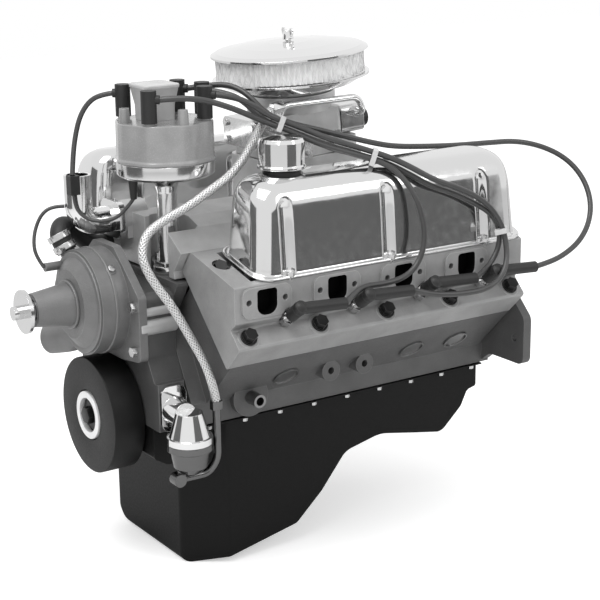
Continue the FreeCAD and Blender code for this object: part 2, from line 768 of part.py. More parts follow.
def valve_cover():
    """Pressed cover with three bolt flutes down its outer side and a turned-out rail."""
    outer = prism_y(cover_outline(0, -2), cover_front_y, cover_rear_y, [0, 22, 14, 14, 20, 0])
    outer = outer.cut([flute(y, 12) for y in flute_ys])
    inner = prism_y(cover_outline(cover_wall, 30), cover_front_y + cover_wall, cover_rear_y - cover_wall,
                    [0, 20, 12, 12, 18, 0])
    inner = inner.cut([flute(y, 12 + cover_wall) for y in flute_ys])
    left, right = rail_inner_x - 4, exhaust_face_x - 1
    flange = prism_y([(left, rail_z(left) + 1), (right, rail_z(right) + 1), (right, rail_z(right) + 3.5),
                      (left, rail_z(left) + 3.5)], cover_front_y - 7, cover_rear_y + 7)
    filler_hole = cylinder(filler_radius - 7, 60, (filler_x, filler_y, cover_top_z - 38))
    shell = outer.fuse(flange).cut([inner, filler_hole])
    return shell.removeSplitter().cut(cover_bolt_holes(3.6))


def cover_bolt_places():
    return [(x, y) for x in (exhaust_face_x - 6, rail_inner_x + 2) for y in flute_ys]


def cover_bolt_holes(radius):
    """Holes square to the sloping rail, deep enough for the cover's bolts."""
    up = Vector(rail_slope(), 0, 1).normalize()
    return [cylinder(radius, 20, tuple(Vector(x, y, rail_z(x)) - up * 10), tuple(up))
            for x, y in cover_bolt_places()]


def top_end_bolts():
    """Bolts of both valve covers, square to their rails."""
    up = Vector(rail_slope(), 0, 1).normalize()
    parts = []
    for x, y in cover_bolt_places():
        parts.append(bolt(3.4, 12, 10, 6, tuple(Vector(x, y, rail_z(x)) + up * 3.5), tuple(up)))
    return group(parts + [other_bank(p) for p in parts])


def oil_filler_cap():
    """Chromed push-on breather cap."""
    base = cover_top_z + 6
    return turned([(0, 0), (filler_radius - 4, 0), (filler_radius, 3), (filler_radius, 6),
                   (filler_radius - 1.5, 8), (filler_radius - 1.5, 38), (filler_radius - 4, 43), (0, 46)],
                  (filler_x, filler_y, base))


def cover_grommets():
    """Rubber rings in the covers' holes, and the valve in the passenger's one."""
    ring = tube(filler_radius - 7, filler_radius - 13, 10, (filler_x, filler_y, cover_top_z - 4))
    stem = turned([(0, 0), (24, 0), (24, 2), (9, 4), (9, 30), (6, 34), (6, 52), (0, 52)],
                  (filler_x, filler_y, cover_top_z + 6))
    bumper = carried(cylinder(14, 12, (20, 96.3, 34), (0, 1, 0)))
    return group([ring, other_bank(ring), other_bank(stem), bumper])


def spark_plugs():
    parts = []
    for y in driver_bores:
        seat, out = plug_axis(y)
        shell = hexagon(16, 12, tuple(seat), tuple(out))
        parts.append(join([shell, cylinder(7, 18, tuple(seat - out * 18), tuple(out)),
                           cylinder(5.2, plug_reach - 11, tuple(seat + out * 11), tuple(out))]))
    return group(parts + [other_bank(p) for p in parts])


def intake_manifold():
    """Valley cover, runners, carburettor pad and the water crossover at the front."""
    c = math.sqrt(0.5)
    low = (c * (head_b - head_inner_w - 3.0), c * (head_b + head_inner_w + 3.0) - 2)
    high = (rail_inner_x - 5.0, rail_inner_z - 2.0)
    floor, roof = port_z + 10, carb_seat_z - 66
    outline = [(-low[0] - 2, floor), (low[0] + 2, floor), low, high, (70, roof - 10), (40, roof), (-40, roof),
               (-70, roof - 10), (-high[0], high[1]), (-low[0], low[1])]
    body = prism_y(outline, head_front_y - 12, head_rear_y - 4, 0)
    riser = prism_z([(-66, carb_y - 76), (66, carb_y - 76), (66, carb_y + 76), (-66, carb_y + 76)],
                    roof - 12, carb_seat_z + 8, 14)
    top = carried(box(-90, 90, -100, 100, 0, 60))
    riser = riser.cut(top)
    bores = [carried(cylinder(throttle_bore_radius + 1, 40, (x, y, -30)))
             for x in (-22, 22) for y in (-26, 26)]
    neck_pad = join([cylinder(24, 40, (neck_x, head_front_y - 26, neck_z), (0, 1, 0)),
                     box(neck_x - 22, neck_x + 22, head_front_y - 20, head_front_y + 20, 235, neck_z),
                     cylinder(11, 40, (hose_nipple_x, head_front_y - 35, hose_nipple_z), (0, 1, 0))])
    shape = join([body, riser, neck_pad])
    clear = [cylinder(31, 200, (distributor_x, distributor_y, 190)),
             cylinder(12, 200, (distributor_x - clamp_bolt_reach, distributor_y, 190)),
             cylinder(14, 30, (neck_x, head_front_y - 27, neck_z), (0, 1, 0))]
    return shape.cut(bores + clear)


def carburettor_base():
    body = prism_z([(-62, -72), (62, -72), (62, 72), (-62, 72)], 0.5, 18, 16)
    bores = [cylinder(throttle_bore_radius, 30, (x, y, -5)) for x in (-22, 22) for y in (-26, 26)]
    shafts = [cylinder(4.2, 140, (-70, y, 9), (1, 0, 0)) for y in (-26, 26)]
    return carried(body.cut(bores + shafts))


def throttle_shaft(y):
    rod = cylinder(4.1, 142, (-66, y, 9), (1, 0, 0))
    plates = [cylinder(throttle_bore_radius - 0.5, 2, (x, y, 8), (0, 0, 1)) for x in (-22, 22)]
    lever = prism_x([(y - 8, 2), (y + 8, 2), (y + 6, 34), (y - 6, 34)], 70, 73, 4)
    return carried(join([rod] + plates + [lever]))


def carburettor_body():
    """Metering body with its four barrels, choke tower and the air-cleaner seat."""
    waist = prism_z([(-50, -52), (50, -52), (50, 52), (-50, 52)], 18.3, 62, 10)
    seat = cylinder(62, 10, (0, 0, 76))
    tower = cylinder(56, 24, (0, 0, 60))
    body = join([waist, tower, seat])
    tools = [cylinder(throttle_bore_radius - 2, 60, (x, y, 10)) for x in (-22, 22) for y in (-26, 26)]
    tools.append(prism_z([(-44, -44), (44, -44), (44, 44), (-44, 44)], 60, 90, 18))
    tools.append(cylinder(3.2, 130, (-64, choke_y, choke_z), (1, 0, 0)))
    return carried(body.cut(tools))


def choke_plate():
    z = choke_z
    rod = cylinder(3.1, 122, (-66, choke_y, z), (1, 0, 0))
    plate = box(-36, 36, choke_y - 13, choke_y + 13, z - 0.8, z + 0.8)
    lever = prism_x([(choke_y - 6, z - 22), (choke_y + 6, z - 22), (choke_y + 6, z + 6), (choke_y - 6, z + 6)],
                    -66, -63.5, 3)
    return carried(join([rod, plate, lever]))


def float_bowls():
    parts = []
    for side in (-1, 1):
        y0, y1 = sorted((side * 52.3, side * 92))
        bowl = prism_y([(-46, 18.6), (46, 18.6), (46, 59.6), (-46, 59.6)], y0, y1, 9)
        screws = [hexagon(9, 4, (x, side * 92, z), (0, side, 0)) for x in (-36, 36) for z in (27, 51)]
        parts.append(carried(join([bowl] + screws)))
    return group(parts)


def bent_tube(points, outer, inner=0.0):
    """Tube of straight runs and tangent arcs; returns the solid and the arc radii."""
    path, radii = smooth_path(points)
    start, ahead = path.Edges[0].firstVertex().Point, path.Edges[0].tangentAt(path.Edges[0].FirstParameter)
    section = Part.Wire(Part.Edge(Part.Circle(start, ahead, outer)))
    solid = path.makePipeShell([section], True, False)
    if inner:
        hollow = path.makePipeShell([Part.Wire(Part.Edge(Part.Circle(start, ahead, inner)))], True, False)
        solid = solid.cut(hollow)
    return solid, radii, path.Length


def smooth_path(points):
    """Straight runs joined by the largest tangent arcs that the two runs allow."""
    p = [Vector(*q) for q in points]
    edges, radii, here = [], [], p[0]
    for before, corner, after in zip(p, p[1:], p[2:]):
        turn = (corner - before).getAngle(after - corner)
        shorter = min((corner - before).Length, (after - corner).Length)
        radius = 0.45 * shorter / math.tan(turn / 2)
        arc, start, end = corner_arc(before, corner, after, radius)
        edges.append(Part.LineSegment(here, start).toShape())
        edges.append(arc)
        radii.append(radius)
        here = end
    edges.append(Part.LineSegment(here, p[-1]).toShape())
    return Part.Wire(edges), radii


def fuel_inlet_pipe():
    """Chromed feed pipe beside the carburettor, bent down to a union on each float bowl."""
    x = 71
    line, _, _ = bent_tube([(52, -70, 50), (x, -70, 52), (x, -66, 82), (x, 66, 75), (x, 74, 52), (52, 74, 50)], 4.8)
    unions = [hexagon(14, 12, (46, y, 50), (1, 0, 0)) for y in (-70, 74)]
    inlet = hexagon(15, 16, (x, -80, 80), (0, 1, 0.1))
    return carried(join([line] + unions + [inlet]))


def air_cleaner_base():
    h = cleaner_rim_height
    return carried(turned([(46, 87), (60, 87), (64, 92), (90, 96), (cleaner_radius - 4, h - 1),
                           (cleaner_radius, h - 1), (cleaner_radius, h + 2), (cleaner_radius - 6, h + 2),
                           (90, 99), (62, 95), (46, 95)]))


def air_filter_element():
    h = cleaner_rim_height + 2.3
    return carried(tube(cleaner_element_radius, cleaner_element_radius - 12, cleaner_element_height, (0, 0, h)))


def air_cleaner_lid():
    h = cleaner_rim_height + cleaner_element_height + 2.6
    r = cleaner_radius
    lid = turned([(4.5, h + 14), (30, h + 13.5), (70, h + 10), (r - 8, h + 5), (r, h + 1), (r, h - 2),
                  (r - 2, h - 2), (r - 3, h + 0.6), (r - 9, h + 3), (70, h + 7.5), (30, h + 11), (4.5, h + 11.5)])
    return carried(lid)


def air_cleaner_stud():
    return carried(cylinder(3, 86, (0, 0, 78)).fuse(box(-44, 44, -4, 4, 77, 82)))


def air_cleaner_nut():
    h = cleaner_rim_height + cleaner_element_height + 17
    knob = turned([(3.2, 0), (9, 0), (13, 4), (13, 12), (9, 17), (0, 18), (0, 8), (3.2, 8)], (0, 0, h))
    wings = [box(-24, 24, -1.6, 1.6, h + 2, h + 10), box(-1.6, 1.6, -24, 24, h + 2, h + 10)]
    hole = cylinder(3.2, 8, (0, 0, h))
    return carried(join([knob] + wings).cut(hole))


def distributor_body():
    """Shaft housing that drops into the block, flared to the bowl under the cap."""
    shank, bowl = distributor_shank_radius, distributor_bowl_radius
    body = turned([(0, 0), (shank, 0), (shank, 45), (22, 45), (22, 53), (14.2, 53), (14.2, 130), (26, 140),
                   (bowl, 152), (bowl, 180), (bowl - 5, 180), (bowl - 5, 157), (0, 157)],
                  (distributor_x, distributor_y, distributor_seat_z - 45))
    return body.cut(cylinder(6.35 + running_clearance, 200, (distributor_x, distributor_y, 150)))


def distributor_shaft():
    """Shaft with its drive gear and rotor, and the hexagon drive down to the oil pump."""
    x, y = distributor_x, distributor_y
    shaft = cylinder(6.35, 236, (x, y, cam_height - 10))
    gear = toothed_wheel(distributor_gear_tip - 3, 13, 16, (0, 0, 0), 3)
    gear = gear.rotated(Vector(0, 0, 0), Vector(1, 0, 0), 90).translated(Vector(x, y, cam_height - 8))
    drive = hexagon(2 * oil_drive_radius * 0.86, cam_height - 8 + 84, (x, y, -84))
    rotor = join([cylinder(20, 14, (x, y, 333)), box(x - 6, x + 6, y, y + 46, 339, 345)])
    return join([shaft, gear, drive, rotor])


def distributor_cap():
    """Moulded cap with eight terminal towers round its top."""
    r = distributor_cap_radius
    z0, z1 = distributor_cap_base_z, distributor_cap_top_z
    shell = turned([(r - 9, 0), (r, 0), (r, 20), (r - 3, z1 - z0), (0, z1 - z0), (0, z1 - z0 - 6),
                    (r - 10, z1 - z0 - 6), (r - 9, 18)], (distributor_x, distributor_y, z0))
    towers = []
    for i in range(8):
        towers.append(cap_tower(45 * i - 3, 0))
    return join([shell] + towers)


def cap_tower(angle, clearance):
    """One terminal tower of the cap, or the room for it in a boot."""
    a = math.radians(angle)
    x, y = distributor_x + tower_circle * math.cos(a), distributor_y + tower_circle * math.sin(a)
    return cone(8 + clearance, 6.5 + clearance, 24 + clearance, (x, y, distributor_cap_top_z - 4))


def coil_cover():
    """Cover of the coil in the cap: upright below, flared towards its flat top."""
    waist_z = distributor_cap_top_z + 20
    x, y = distributor_x, distributor_y
    lower = prism_z([(x - 32, y - 32), (x + 32, y - 32), (x + 32, y + 32), (x - 32, y + 32)],
                    distributor_cap_top_z, waist_z, 8)
    rims = []
    for half, z in ((32, waist_z), (35, coil_cover_top_z)):
        corners = [Vector(x - half, y - half, z), Vector(x + half, y - half, z), Vector(x + half, y + half, z),
                   Vector(x - half, y + half, z)]
        rims.append(rounded_face(corners, 8).OuterWire)
    return lower.fuse(Part.makeLoft(rims, True))


def hold_down_clamp():
    """Forked clamp on the distributor's flange with its bolt."""
    x, y, z = distributor_x, distributor_y, distributor_seat_z + 8.1
    tail = x - clamp_bolt_reach
    plate = prism_z([(tail - 9, y - 9), (x - 10, y - 17), (x + 17, y - 17), (x + 17, y + 10), (x - 10, y + 17),
                     (tail - 9, y + 9)], z, z + 5, 4)
    plate = plate.cut([cylinder(14.3, 30, (x, y, z - 5)), cylinder(3.2, 30, (tail, y, z - 5))])
    return [plate, bolt(3, 26, 11, 6, (tail, y, z + 5), (0, 0, 1))]


def timing_cover():
    """Cast front cover over the chain, open behind, with the crank seal bore."""
    half = [(112, -1), (112, 62), (92, 96), (92, cam_height + 75)]
    outline = half + [(-x, z) for x, z in reversed(half)]
    front = block_front_y - cover_depth
    back = block_front_y - 0.5
    body = prism_y(outline, front, back, [4, 8, 12, 14, 14, 12, 8, 4])
    pad = box(104, 120, fuel_pump_y - 20, fuel_pump_y + 20, -0.9, 66)
    chin = cylinder(seal_arch_radius, back - front, (0, front, 0), (0, 1, 0))
    body = join([body, pad, chin])
    ceiling = cam_height + 67
    room = [(100, -60), (100, 58), (80, 92), (80, ceiling), (-80, ceiling), (-80, 92), (-100, 58), (-100, -60)]
    hollow = prism_y(room, front + 8, block_front_y + 1)
    seal = cylinder(damper_hub_radius + running_clearance, 30, (0, front - 5, 0), (0, 1, 0))
    lever_slot = box(90, 130, fuel_pump_y - 10, fuel_pump_y + 10, 20, 44)
    holes = [cylinder(4.2, 30, (x, front - 1, z), (0, 1, 0)) for x, z in pump_bolt_places()]
    return body.cut([hollow, seal, lever_slot] + holes)


def pump_bolt_places():
    z = pump_axis_z
    return [(side * 86, z + dz) for side in (-1, 1) for dz in (-56, 6)]


def water_pump_body():
    """Cast pump: volute, ribbed bearing nose, side pads, bypass neck and lower inlet."""
    z = pump_axis_z
    back = block_front_y - cover_depth - 1.0
    half = [(40, z - 78), (98, z - 70), (98, z + 20), (52, z + 60), (30, z + 78)]
    plate = prism_y(half + [(-x, pz) for x, pz in reversed(half)], back - 12, back, 10)
    volute = cylinder(73, 46, (0, back - 52, z), (0, 1, 0))
    shoulder = cone(48, 68, 16, (0, back - 67, z), (0, 1, 0))
    nose = cone(23, 32, 66, (0, back - 122, z), (0, 1, 0))
    bypass = cylinder(11, 26, bypass_foot, bypass_axis).fuse(Part.makeSphere(11, Vector(*bypass_foot)))
    sender = cylinder(6, 24, (-46, back - 80, z + 44), (0, 1, 0))
    inlet, _, _ = bent_tube([(-20, back - 30, z - 40), (-58, back - 36, z - 64), (-98, back - 52, z - 74)], 23)
    body = join([plate, volute, shoulder, nose, bypass, sender, inlet])
    tools = [cylinder(60, 30, (0, back - 41, z), (0, 1, 0)),
             cylinder(pump_bearing_radius + running_clearance, 60, (0, back - 124, z), (0, 1, 0)),
             cylinder(pump_shaft_radius + free_clearance, 140, (0, back - 130, z), (0, 1, 0))]
    tools += [cylinder(4.2, 40, (x, back - 20, pz), (0, 1, 0)) for x, pz in pump_bolt_places()]
    return body.cut(tools)


def water_pump_shaft():
    """Shaft with its bearing, the pressed hub flange, pilot and vaned impeller."""
    z = pump_axis_z
    back = block_front_y - cover_depth - 1.0
    hub_y = pump_hub_face_y
    shaft = cylinder(pump_shaft_radius, back - 16 - hub_y, (0, hub_y, z), (0, 1, 0))
    bearing = cylinder(pump_bearing_radius, 54, (0, back - 120, z), (0, 1, 0))
    hub = turned([(0, 0), (30, 0), (30, 5), (15, 6), (15, 16), (0, 16)], (0, hub_y, z), (0, 1, 0))
    pilot = cylinder(pump_pilot_radius, pump_pilot_length, (0, hub_y - pump_pilot_length, z), (0, 1, 0))
    disc = cylinder(54, 4, (0, back - 20, z), (0, 1, 0))
    vanes = [box(12, 54, back - 38, back - 19, z - 2, z + 2).rotated(Vector(0, 0, z), Vector(0, 1, 0), 60 * i)
             for i in range(6)]
    return join([shaft, bearing, hub, pilot, disc] + vanes)


def thermostat_housing():
    """Chromed water neck: flange on the manifold, bend and upright pipe."""
    x, y, z = neck_x, head_front_y - 26, neck_z
    bend_y = y + 1 - neck_reach
    flange = prism_y([(x - 30, z - 26), (x + 30, z - 26), (x + 30, z + 26), (x - 30, z + 26)], y - 9, y, 14)
    pipe, _, _ = bent_tube([(x, y - 4, z), (x, bend_y, z), (x, bend_y, neck_top_z)], neck_radius)
    bore, _, _ = bent_tube([(x, y + 1, z), (x, bend_y, z), (x, bend_y, neck_top_z + 2)], neck_radius - 4)
    return join([flange, pipe]).cut(bore)


def harmonic_damper():
    """Hub and inertia ring bonded by a rubber band, with the bolt that holds them."""
    width = damper_back_y - damper_front_y
    ring = tube(damper_radius, 58, width, (0, damper_front_y, 0), (0, 1, 0))
    band = tube(58, 54, width - 4, (0, damper_front_y + 2, 0), (0, 1, 0))
    hub = turned([(snout_radius, width + 26), (snout_radius, 12), (54, 12), (54, width - 4),
                  (damper_hub_radius + 6, width - 4), (damper_hub_radius, width),
                  (damper_hub_radius, width + 26)], (0, damper_front_y, 0), (0, 1, 0))
    washer = tube(27, 8, 6, (0, damper_front_y + 6, 0), (0, 1, 0))
    screw = join([cylinder(7.9, 50, (0, damper_front_y + 6, 0), (0, 1, 0)),
                  hexagon(22, 12, (0, damper_front_y - 6, 0), (0, 1, 0))])
    return group([ring, band, hub, washer, screw])


def front_bolts():
    """Bolts of the pump and the front cover, and the distributor's clamp with its bolt."""
    seat = block_front_y - cover_depth - 13.0
    bolts = [bolt(4, 13, 13, 8, (x, seat, z), (0, -1, 0)) for x, z in pump_bolt_places()]
    return group(bolts + hold_down_clamp())


def fuel_pump():
    """Two-piece diaphragm pump: flanged arm housing and body."""
    flange = prism_x([(fuel_pump_y - 19, 0), (fuel_pump_y + 19, 0), (fuel_pump_y + 19, 64),
                      (fuel_pump_y - 19, 64)], 120, 127, 12)
    arm_house = cone(19, 17, 30, (126, fuel_pump_y, 30), (1, 0, 0))
    disc = cylinder(fuel_pump_radius, 9, (fuel_pump_x, fuel_pump_y, -4))
    dome = cone(fuel_pump_radius - 3, 18, 34, (fuel_pump_x, fuel_pump_y, 4))
    return join([flange, arm_house, disc, dome])


def fuel_pump_bowl():
    """Lower bowl with its outlet eye and the steel pipe that carries the hose."""
    x, y, rim = fuel_pump_x, fuel_pump_y, fuel_pump_radius
    bowl = turned([(0, 0), (15, 0), (rim - 8, 8), (rim - 4, 30), (rim, 32), (rim, 41), (0, 41)], (x, y, -45.5))
    eye = cylinder(9, 16, (x - 8, y - 20, -53), (1, 0, 0))
    stem = cylinder(6, 16, (x, y - 14, -54))
    pipe, _, _ = bent_tube([(x, y - 20, -53), (x + 2, y + 26, -53), (x + 5, y + 39, -34), (x + 5, y + 39, 40)],
                           fuel_pipe_radius)
    nut = hexagon(15, 12, (x + 5, y + 39, 36))
    return join([bowl, eye, stem, pipe, nut])


def pan_profile(inset=0.0):
    """Side outline of the pan in y and z: deep at the front, stepped up over the rear."""
    front = sump_front_y + inset
    floor = -sump_depth + inset
    return [(front, pan_top_z + 10), (front, floor), (-362, floor + 35), (-318, -146 + inset),
            (-275, -94 + inset), (-212, -80 + inset), (-150, -92 + inset), (-96, -102 + inset),
            (-58 - inset, -68), (-46 - inset, -44), (-29 - inset, -40), (-29 - inset, pan_top_z + 10)]


def pan_block(inset):
    """Solid of the pan's outer form, or of its inside when inset by the wall."""
    half = pan_half_width - inset
    side = prism_x(pan_profile(inset), -half, half,
                   [0, 10, 18, 22, 30, 60, 40, 20, 16, 10, 4, 0])
    end = prism_y([(-half, 20), (-half, -sump_depth + inset), (half, -sump_depth + inset), (half, 20)],
                  -600, 0, [0, 58 - inset, 8, 0])
    corner = sump_chamfer + inset * 0.4
    plan = prism_z([(-half, sump_front_y + inset), (half - sump_chamfer_width, sump_front_y + inset),
                    (half, sump_front_y + corner), (half, 0), (-half, 0)], -300, 60, [14, 10, 8, 0, 0])
    return side.common(end).common(plan)


def pan_nose(inset):
    """Shallow part under the front cover."""
    half = 100 - inset
    front = block_front_y - cover_depth + 1 + inset
    floor = -58 + inset
    return prism_x([(front, 20), (front, -46 + inset), (front + 20, floor), (sump_front_y + 12, floor),
                    (sump_front_y + 12, 20)], -half, half, [0, 6, 12, 0, 0])


def oil_pan():
    """Pressed pan: deep front sump, shallow nose and tail, and a flat lip under the block."""
    lip = box(-pan_lip_half_width, pan_lip_half_width, block_front_y, block_rear_y - bell_thickness - 0.3,
              pan_top_z - 2, pan_top_z)
    nose_lip = box(-111, 111, block_front_y - cover_depth + 1, block_front_y, pan_top_z - 2, pan_top_z)
    outer = join([pan_block(0), pan_nose(0), lip, nose_lip])
    above = box(-200, 200, -700, 100, pan_top_z, 60)
    front_arch = cylinder(seal_arch_radius + 0.3, 60, (0, -600, 0), (0, 1, 0))
    rear_arch = cylinder(rear_seal_radius + 0.3, 40, (0, -60, 0), (0, 1, 0))
    holes = [cylinder(3.2, 10, (x, y, -8)) for x, y in pan_bolt_places()]
    return outer.cut([pan_block(pan_wall), pan_nose(pan_wall), above, front_arch, rear_arch] + holes)


def pan_bolt_places():
    return [(side * 126.8, -508 + 58 * i) for side in (-1, 1) for i in range(9)]


def pan_bolts():
    return group([bolt(3, 1.4, 8, 5, (x, y, pan_top_z - 2), (0, 0, -1)) for x, y in pan_bolt_places()])


def block_plugs():
    """Pressed core plugs in the block's sides and the oil filter's threaded nipple."""
    parts = []
    for y in (-400.0, -182.0, -100.0):
        base = bank_point(bank_outer_w, y, 150)
        parts.append(turned([(0, 0), (19, 0), (19, 3), (17, 3), (17, 1), (0, 1)], base, (1, 0, -1)))
    nipple = tube(9.5, 6, 24, (filter_boss_x, filter_boss_y, filter_boss_z), (1, 0, 0))
    return group(parts + [other_bank(p) for p in parts] + [nipple])


def oil_pump():
    """Gear pump under the front main cap, with its pickup pipe and strainer in the sump."""
    x, y = distributor_x, distributor_y
    body = join([box(x - 24, x + 24, y - 14, y + 15, -92, -50),
                 box(x - 24, x + 24, y - 14, y + 34, -92, -71)])
    pipe, _, _ = bent_tube([(x - 10, y + 12, -90), (x - 10, y + 12, -130), (x - 32, y + 34, -168),
                            (x - 38, y + 42, -190)], 9)
    strainer = cylinder(36, 10, (x - 38, y + 42, -197))
    body = join([body, pipe, strainer])
    return body.cut(cylinder(oil_drive_radius + 0.3, 60, (x, y, -86)))


wire_diameter = 8.0
small_lead_diameter = 5.0
fuel_hose_diameter = 13.0
cap_boot_angles = {"plug_wire_1": 312, "plug_wire_2": 42, "plug_wire_3": 87, "plug_wire_4": 132,
                   "coil_lead": 222}

# Routes of the leads and the hose, from the cap or the pump to where each one ends.
cord_routes = {
    "plug_wire_1": [(85, -543, 443), (100, -521, 445), (112, -490, 441), (115, -450, 427),
                    (109, -395, 402), (119, -359, 387), (147, -327, 368), (178, -289, 355),
                    (200, -258, 343), (216, -240, 322), (227, -229, 297), (233, -223, 272),
                    (237, -221, 247), (239, -226, 223), (240, -239, 203), (239, -259, 191),
                    (237, -291, 187), (239, -324, 190), (246, -347, 184), (253, -366, 176)],
    "plug_wire_2": [(90, -461, 443), (103, -441, 440), (112, -418, 429), (110, -392, 411),
                    (120, -356, 396), (150, -322, 378), (175, -284, 364), (197, -253, 352),
                    (214, -229, 338), (228, -200, 319), (233, -164, 305), (235, -130, 289),
                    (238, -105, 270), (243, -90, 247), (248, -85, 223), (256, -88, 201),
                    (264, -99, 182), (267, -117, 168), (266, -140, 161), (263, -166, 160),
                    (260, -197, 162), (257, -227, 167), (253, -255, 176)],
    "plug_wire_3": [(52, -444, 443), (69, -430, 440), (84, -414, 430), (100, -392, 402),
                    (110, -356, 387), (137, -319, 368), (170, -284, 355), (192, -253, 343),
                    (208, -229, 328), (221, -200, 309), (225, -165, 296), (227, -130, 279),
                    (230, -101, 262), (233.9, -88.7, 244.7), (236.9, -85.4, 224.1), (238, -90.9, 204.5),
                    (239.1, -104.1, 189.1), (245, -124, 179), (253, -144, 176)],
    "plug_wire_4": [(9, -458, 443), (30, -436, 448), (54, -416, 449), (79, -403, 437), (101, -389, 411),
                    (111, -353, 396), (120, -318, 386), (126, -275, 373), (129, -235, 361),
                    (129, -195, 351), (128, -140, 345), (127, -78, 340), (128, -20, 338),
                    (131, 34, 336), (147, 75, 325), (172, 100, 307), (199, 109, 281), (221, 105, 250),
                    (237, 87, 221), (247, 58, 198), (252, 22, 184), (253, -8, 178), (253, -32, 176)],
    "coil_lead": [(-13, -562, 443), (-24.1, -576.7, 440.4), (-36, -588, 430), (-43, -598, 411),
                  (-43, -606, 386), (-37, -614, 359), (-29, -620, 334)],
    "pickup_lead": [(-28, -620, 308), (-28, -619, 293), (-24.2, -613.2, 280.5), (-15.6, -602.6, 271.5),
                    (0, -585, 271), (11, -567, 280), (15, -551, 301)],
    "sender_lead": [(-62, -619, 286), (-68.6, -633.1, 286.4), (-72.8, -647.8, 278.5), (-72, -659, 261),
                    (-65, -667, 242), (-55, -669, 223), (-46, -661.5, 208)],
    "fuel_hose": [(172, -521, 48), (171, -528, 88), (159, -550, 138), (146, -568, 180),
                  (133, -584, 208), (126, -594, 230), (119, -596, 247), (113, -590, 264),
                  (110, -578, 277), (111, -553, 290), (114, -519, 304), (116, -487, 322),
                  (114, -458, 335), (104, -427, 356), (95, -404, 380), (85, -382, 400),
                  (71, -362, 411)],
}
cord_diameters = {"coil_lead": 7.0, "pickup_lead": small_lead_diameter, "sender_lead": small_lead_diameter,
                  "fuel_hose": fuel_hose_diameter}


def cord(name):
    """Plain tube along one lead's route."""
    diameter = cord_diameters.get(name, wire_diameter)
    solid, radii, length = bent_tube(cord_routes[name], diameter / 2)
    print(name, "length", round(length, 1), "least radius", round(min(radii), 1),
          "radii", [round(r, 1) for r in radii])
    print(name, "volume over section", round(solid.Volume / (math.pi * diameter * diameter / 4), 1))
    return solid


def cap_boot(name):
    """Upright boot over one terminal tower, with its side outlet towards the lead."""
    a = math.radians(cap_boot_angles[name])
    foot = Vector(distributor_x + tower_circle * math.cos(a), distributor_y + tower_circle * math.sin(a),
                  distributor_cap_top_z + 3)
    start = Vector(*cord_routes[name][0])
    middle = Vector(foot.x, foot.y, start.z)
    outlet = cylinder(6, (start - middle).Length, tuple(middle), tuple(start - middle))
    body = cylinder(10.5, boot_height, tuple(foot))
    return join([body, outlet]).cut(cap_tower(cap_boot_angles[name], 0.1))


def plug_boot(y):
    """Bent boot over one spark plug, running back along the head to its lead."""
    seat, out = plug_axis(y)
    elbow = seat + out * plug_reach
    end = Vector(boot_end_x, y + plug_offset + boot_length, boot_end_z)
    sleeve = cylinder(9, 30, tuple(seat + out * (plug_reach - 24)), tuple(out))
    barrel = cylinder(8, (end - elbow).Length, tuple(elbow), tuple(end - elbow))
    ball = Part.makeSphere(9.7, elbow)
    room = cylinder(5.3, plug_reach, tuple(seat), tuple(out))
    return join([sleeve, ball, barrel]).cut(room)


def plug_boots():
    """Moulded boots at both ends of the leads, and the coil lead's connector."""
    connector = box(-35.3, -21.3, -626.8, -612.8, 308, 334)
    return group([plug_boot(y) for y in driver_bores] + [cap_boot(name) for name in cap_boot_angles]
                 + [connector])


def wire_separator(runs, half_width, half_height):
    """Moulded comb round several leads, at the middle of one run of each route."""
    ends = [(Vector(*cord_routes[name][i]), Vector(*cord_routes[name][i + 1])) for name, i in runs]
    centres = [(start + end) * 0.5 for start, end in ends]
    aims = [(end - start).normalize() for start, end in ends]
    middle = sum(centres, Vector()) * (1 / len(centres))
    along = sum(aims, Vector()).normalize()
    across = along.cross(Vector(0, 0, 1)).normalize()
    block = Part.makeBox(2 * half_width, 7, 2 * half_height, Vector(-half_width, -3.5, -half_height))
    block.Placement = FreeCAD.Placement(middle, FreeCAD.Rotation(across, along, across.cross(along), "XYZ"))
    hole_radius = wire_diameter / 2 + 0.3
    holes = [cylinder(hole_radius, 60, tuple(c - aim * 30), tuple(aim)) for c, aim in zip(centres, aims)]
    return block.cut(holes)


def wire_separators():
    """Two combs over the cover and one where two leads pass its edge."""
    over_cap = wire_separator([("plug_wire_1", 4), ("plug_wire_2", 3), ("plug_wire_3", 3), ("plug_wire_4", 4)],
                              11, 11)
    on_cover = wire_separator([("plug_wire_1", 7), ("plug_wire_2", 6), ("plug_wire_3", 6)], 12, 11)
    at_edge = wire_separator([("plug_wire_2", 13), ("plug_wire_3", 13)], 12, 8)
    return group([over_cap, on_cover, at_edge])


def bypass_hose():
    """Moulded hose from the pump's bypass pipe to the manifold, with a clamp at each end."""
    axis = Vector(*bypass_axis).normalize()
    foot = Vector(*bypass_foot)
    nipple = Vector(hose_nipple_x, head_front_y - 23, hose_nipple_z)
    lower, upper = foot + axis * 14, foot + axis * 38
    route = [tuple(lower), tuple(upper), (-78, -617, 258), (-84, -592, 240),
             (nipple.x, nipple.y - 28, nipple.z), tuple(nipple)]
    hose, _, _ = bent_tube(route, 14, 11.1)
    clamps = [tube(15.5, 14.1, 9, tuple(lower + axis * 2), tuple(axis)),
              tube(15.5, 14.1, 9, tuple(nipple - Vector(0, 11, 0)), (0, 1, 0))]
    return group([hose] + clamps)


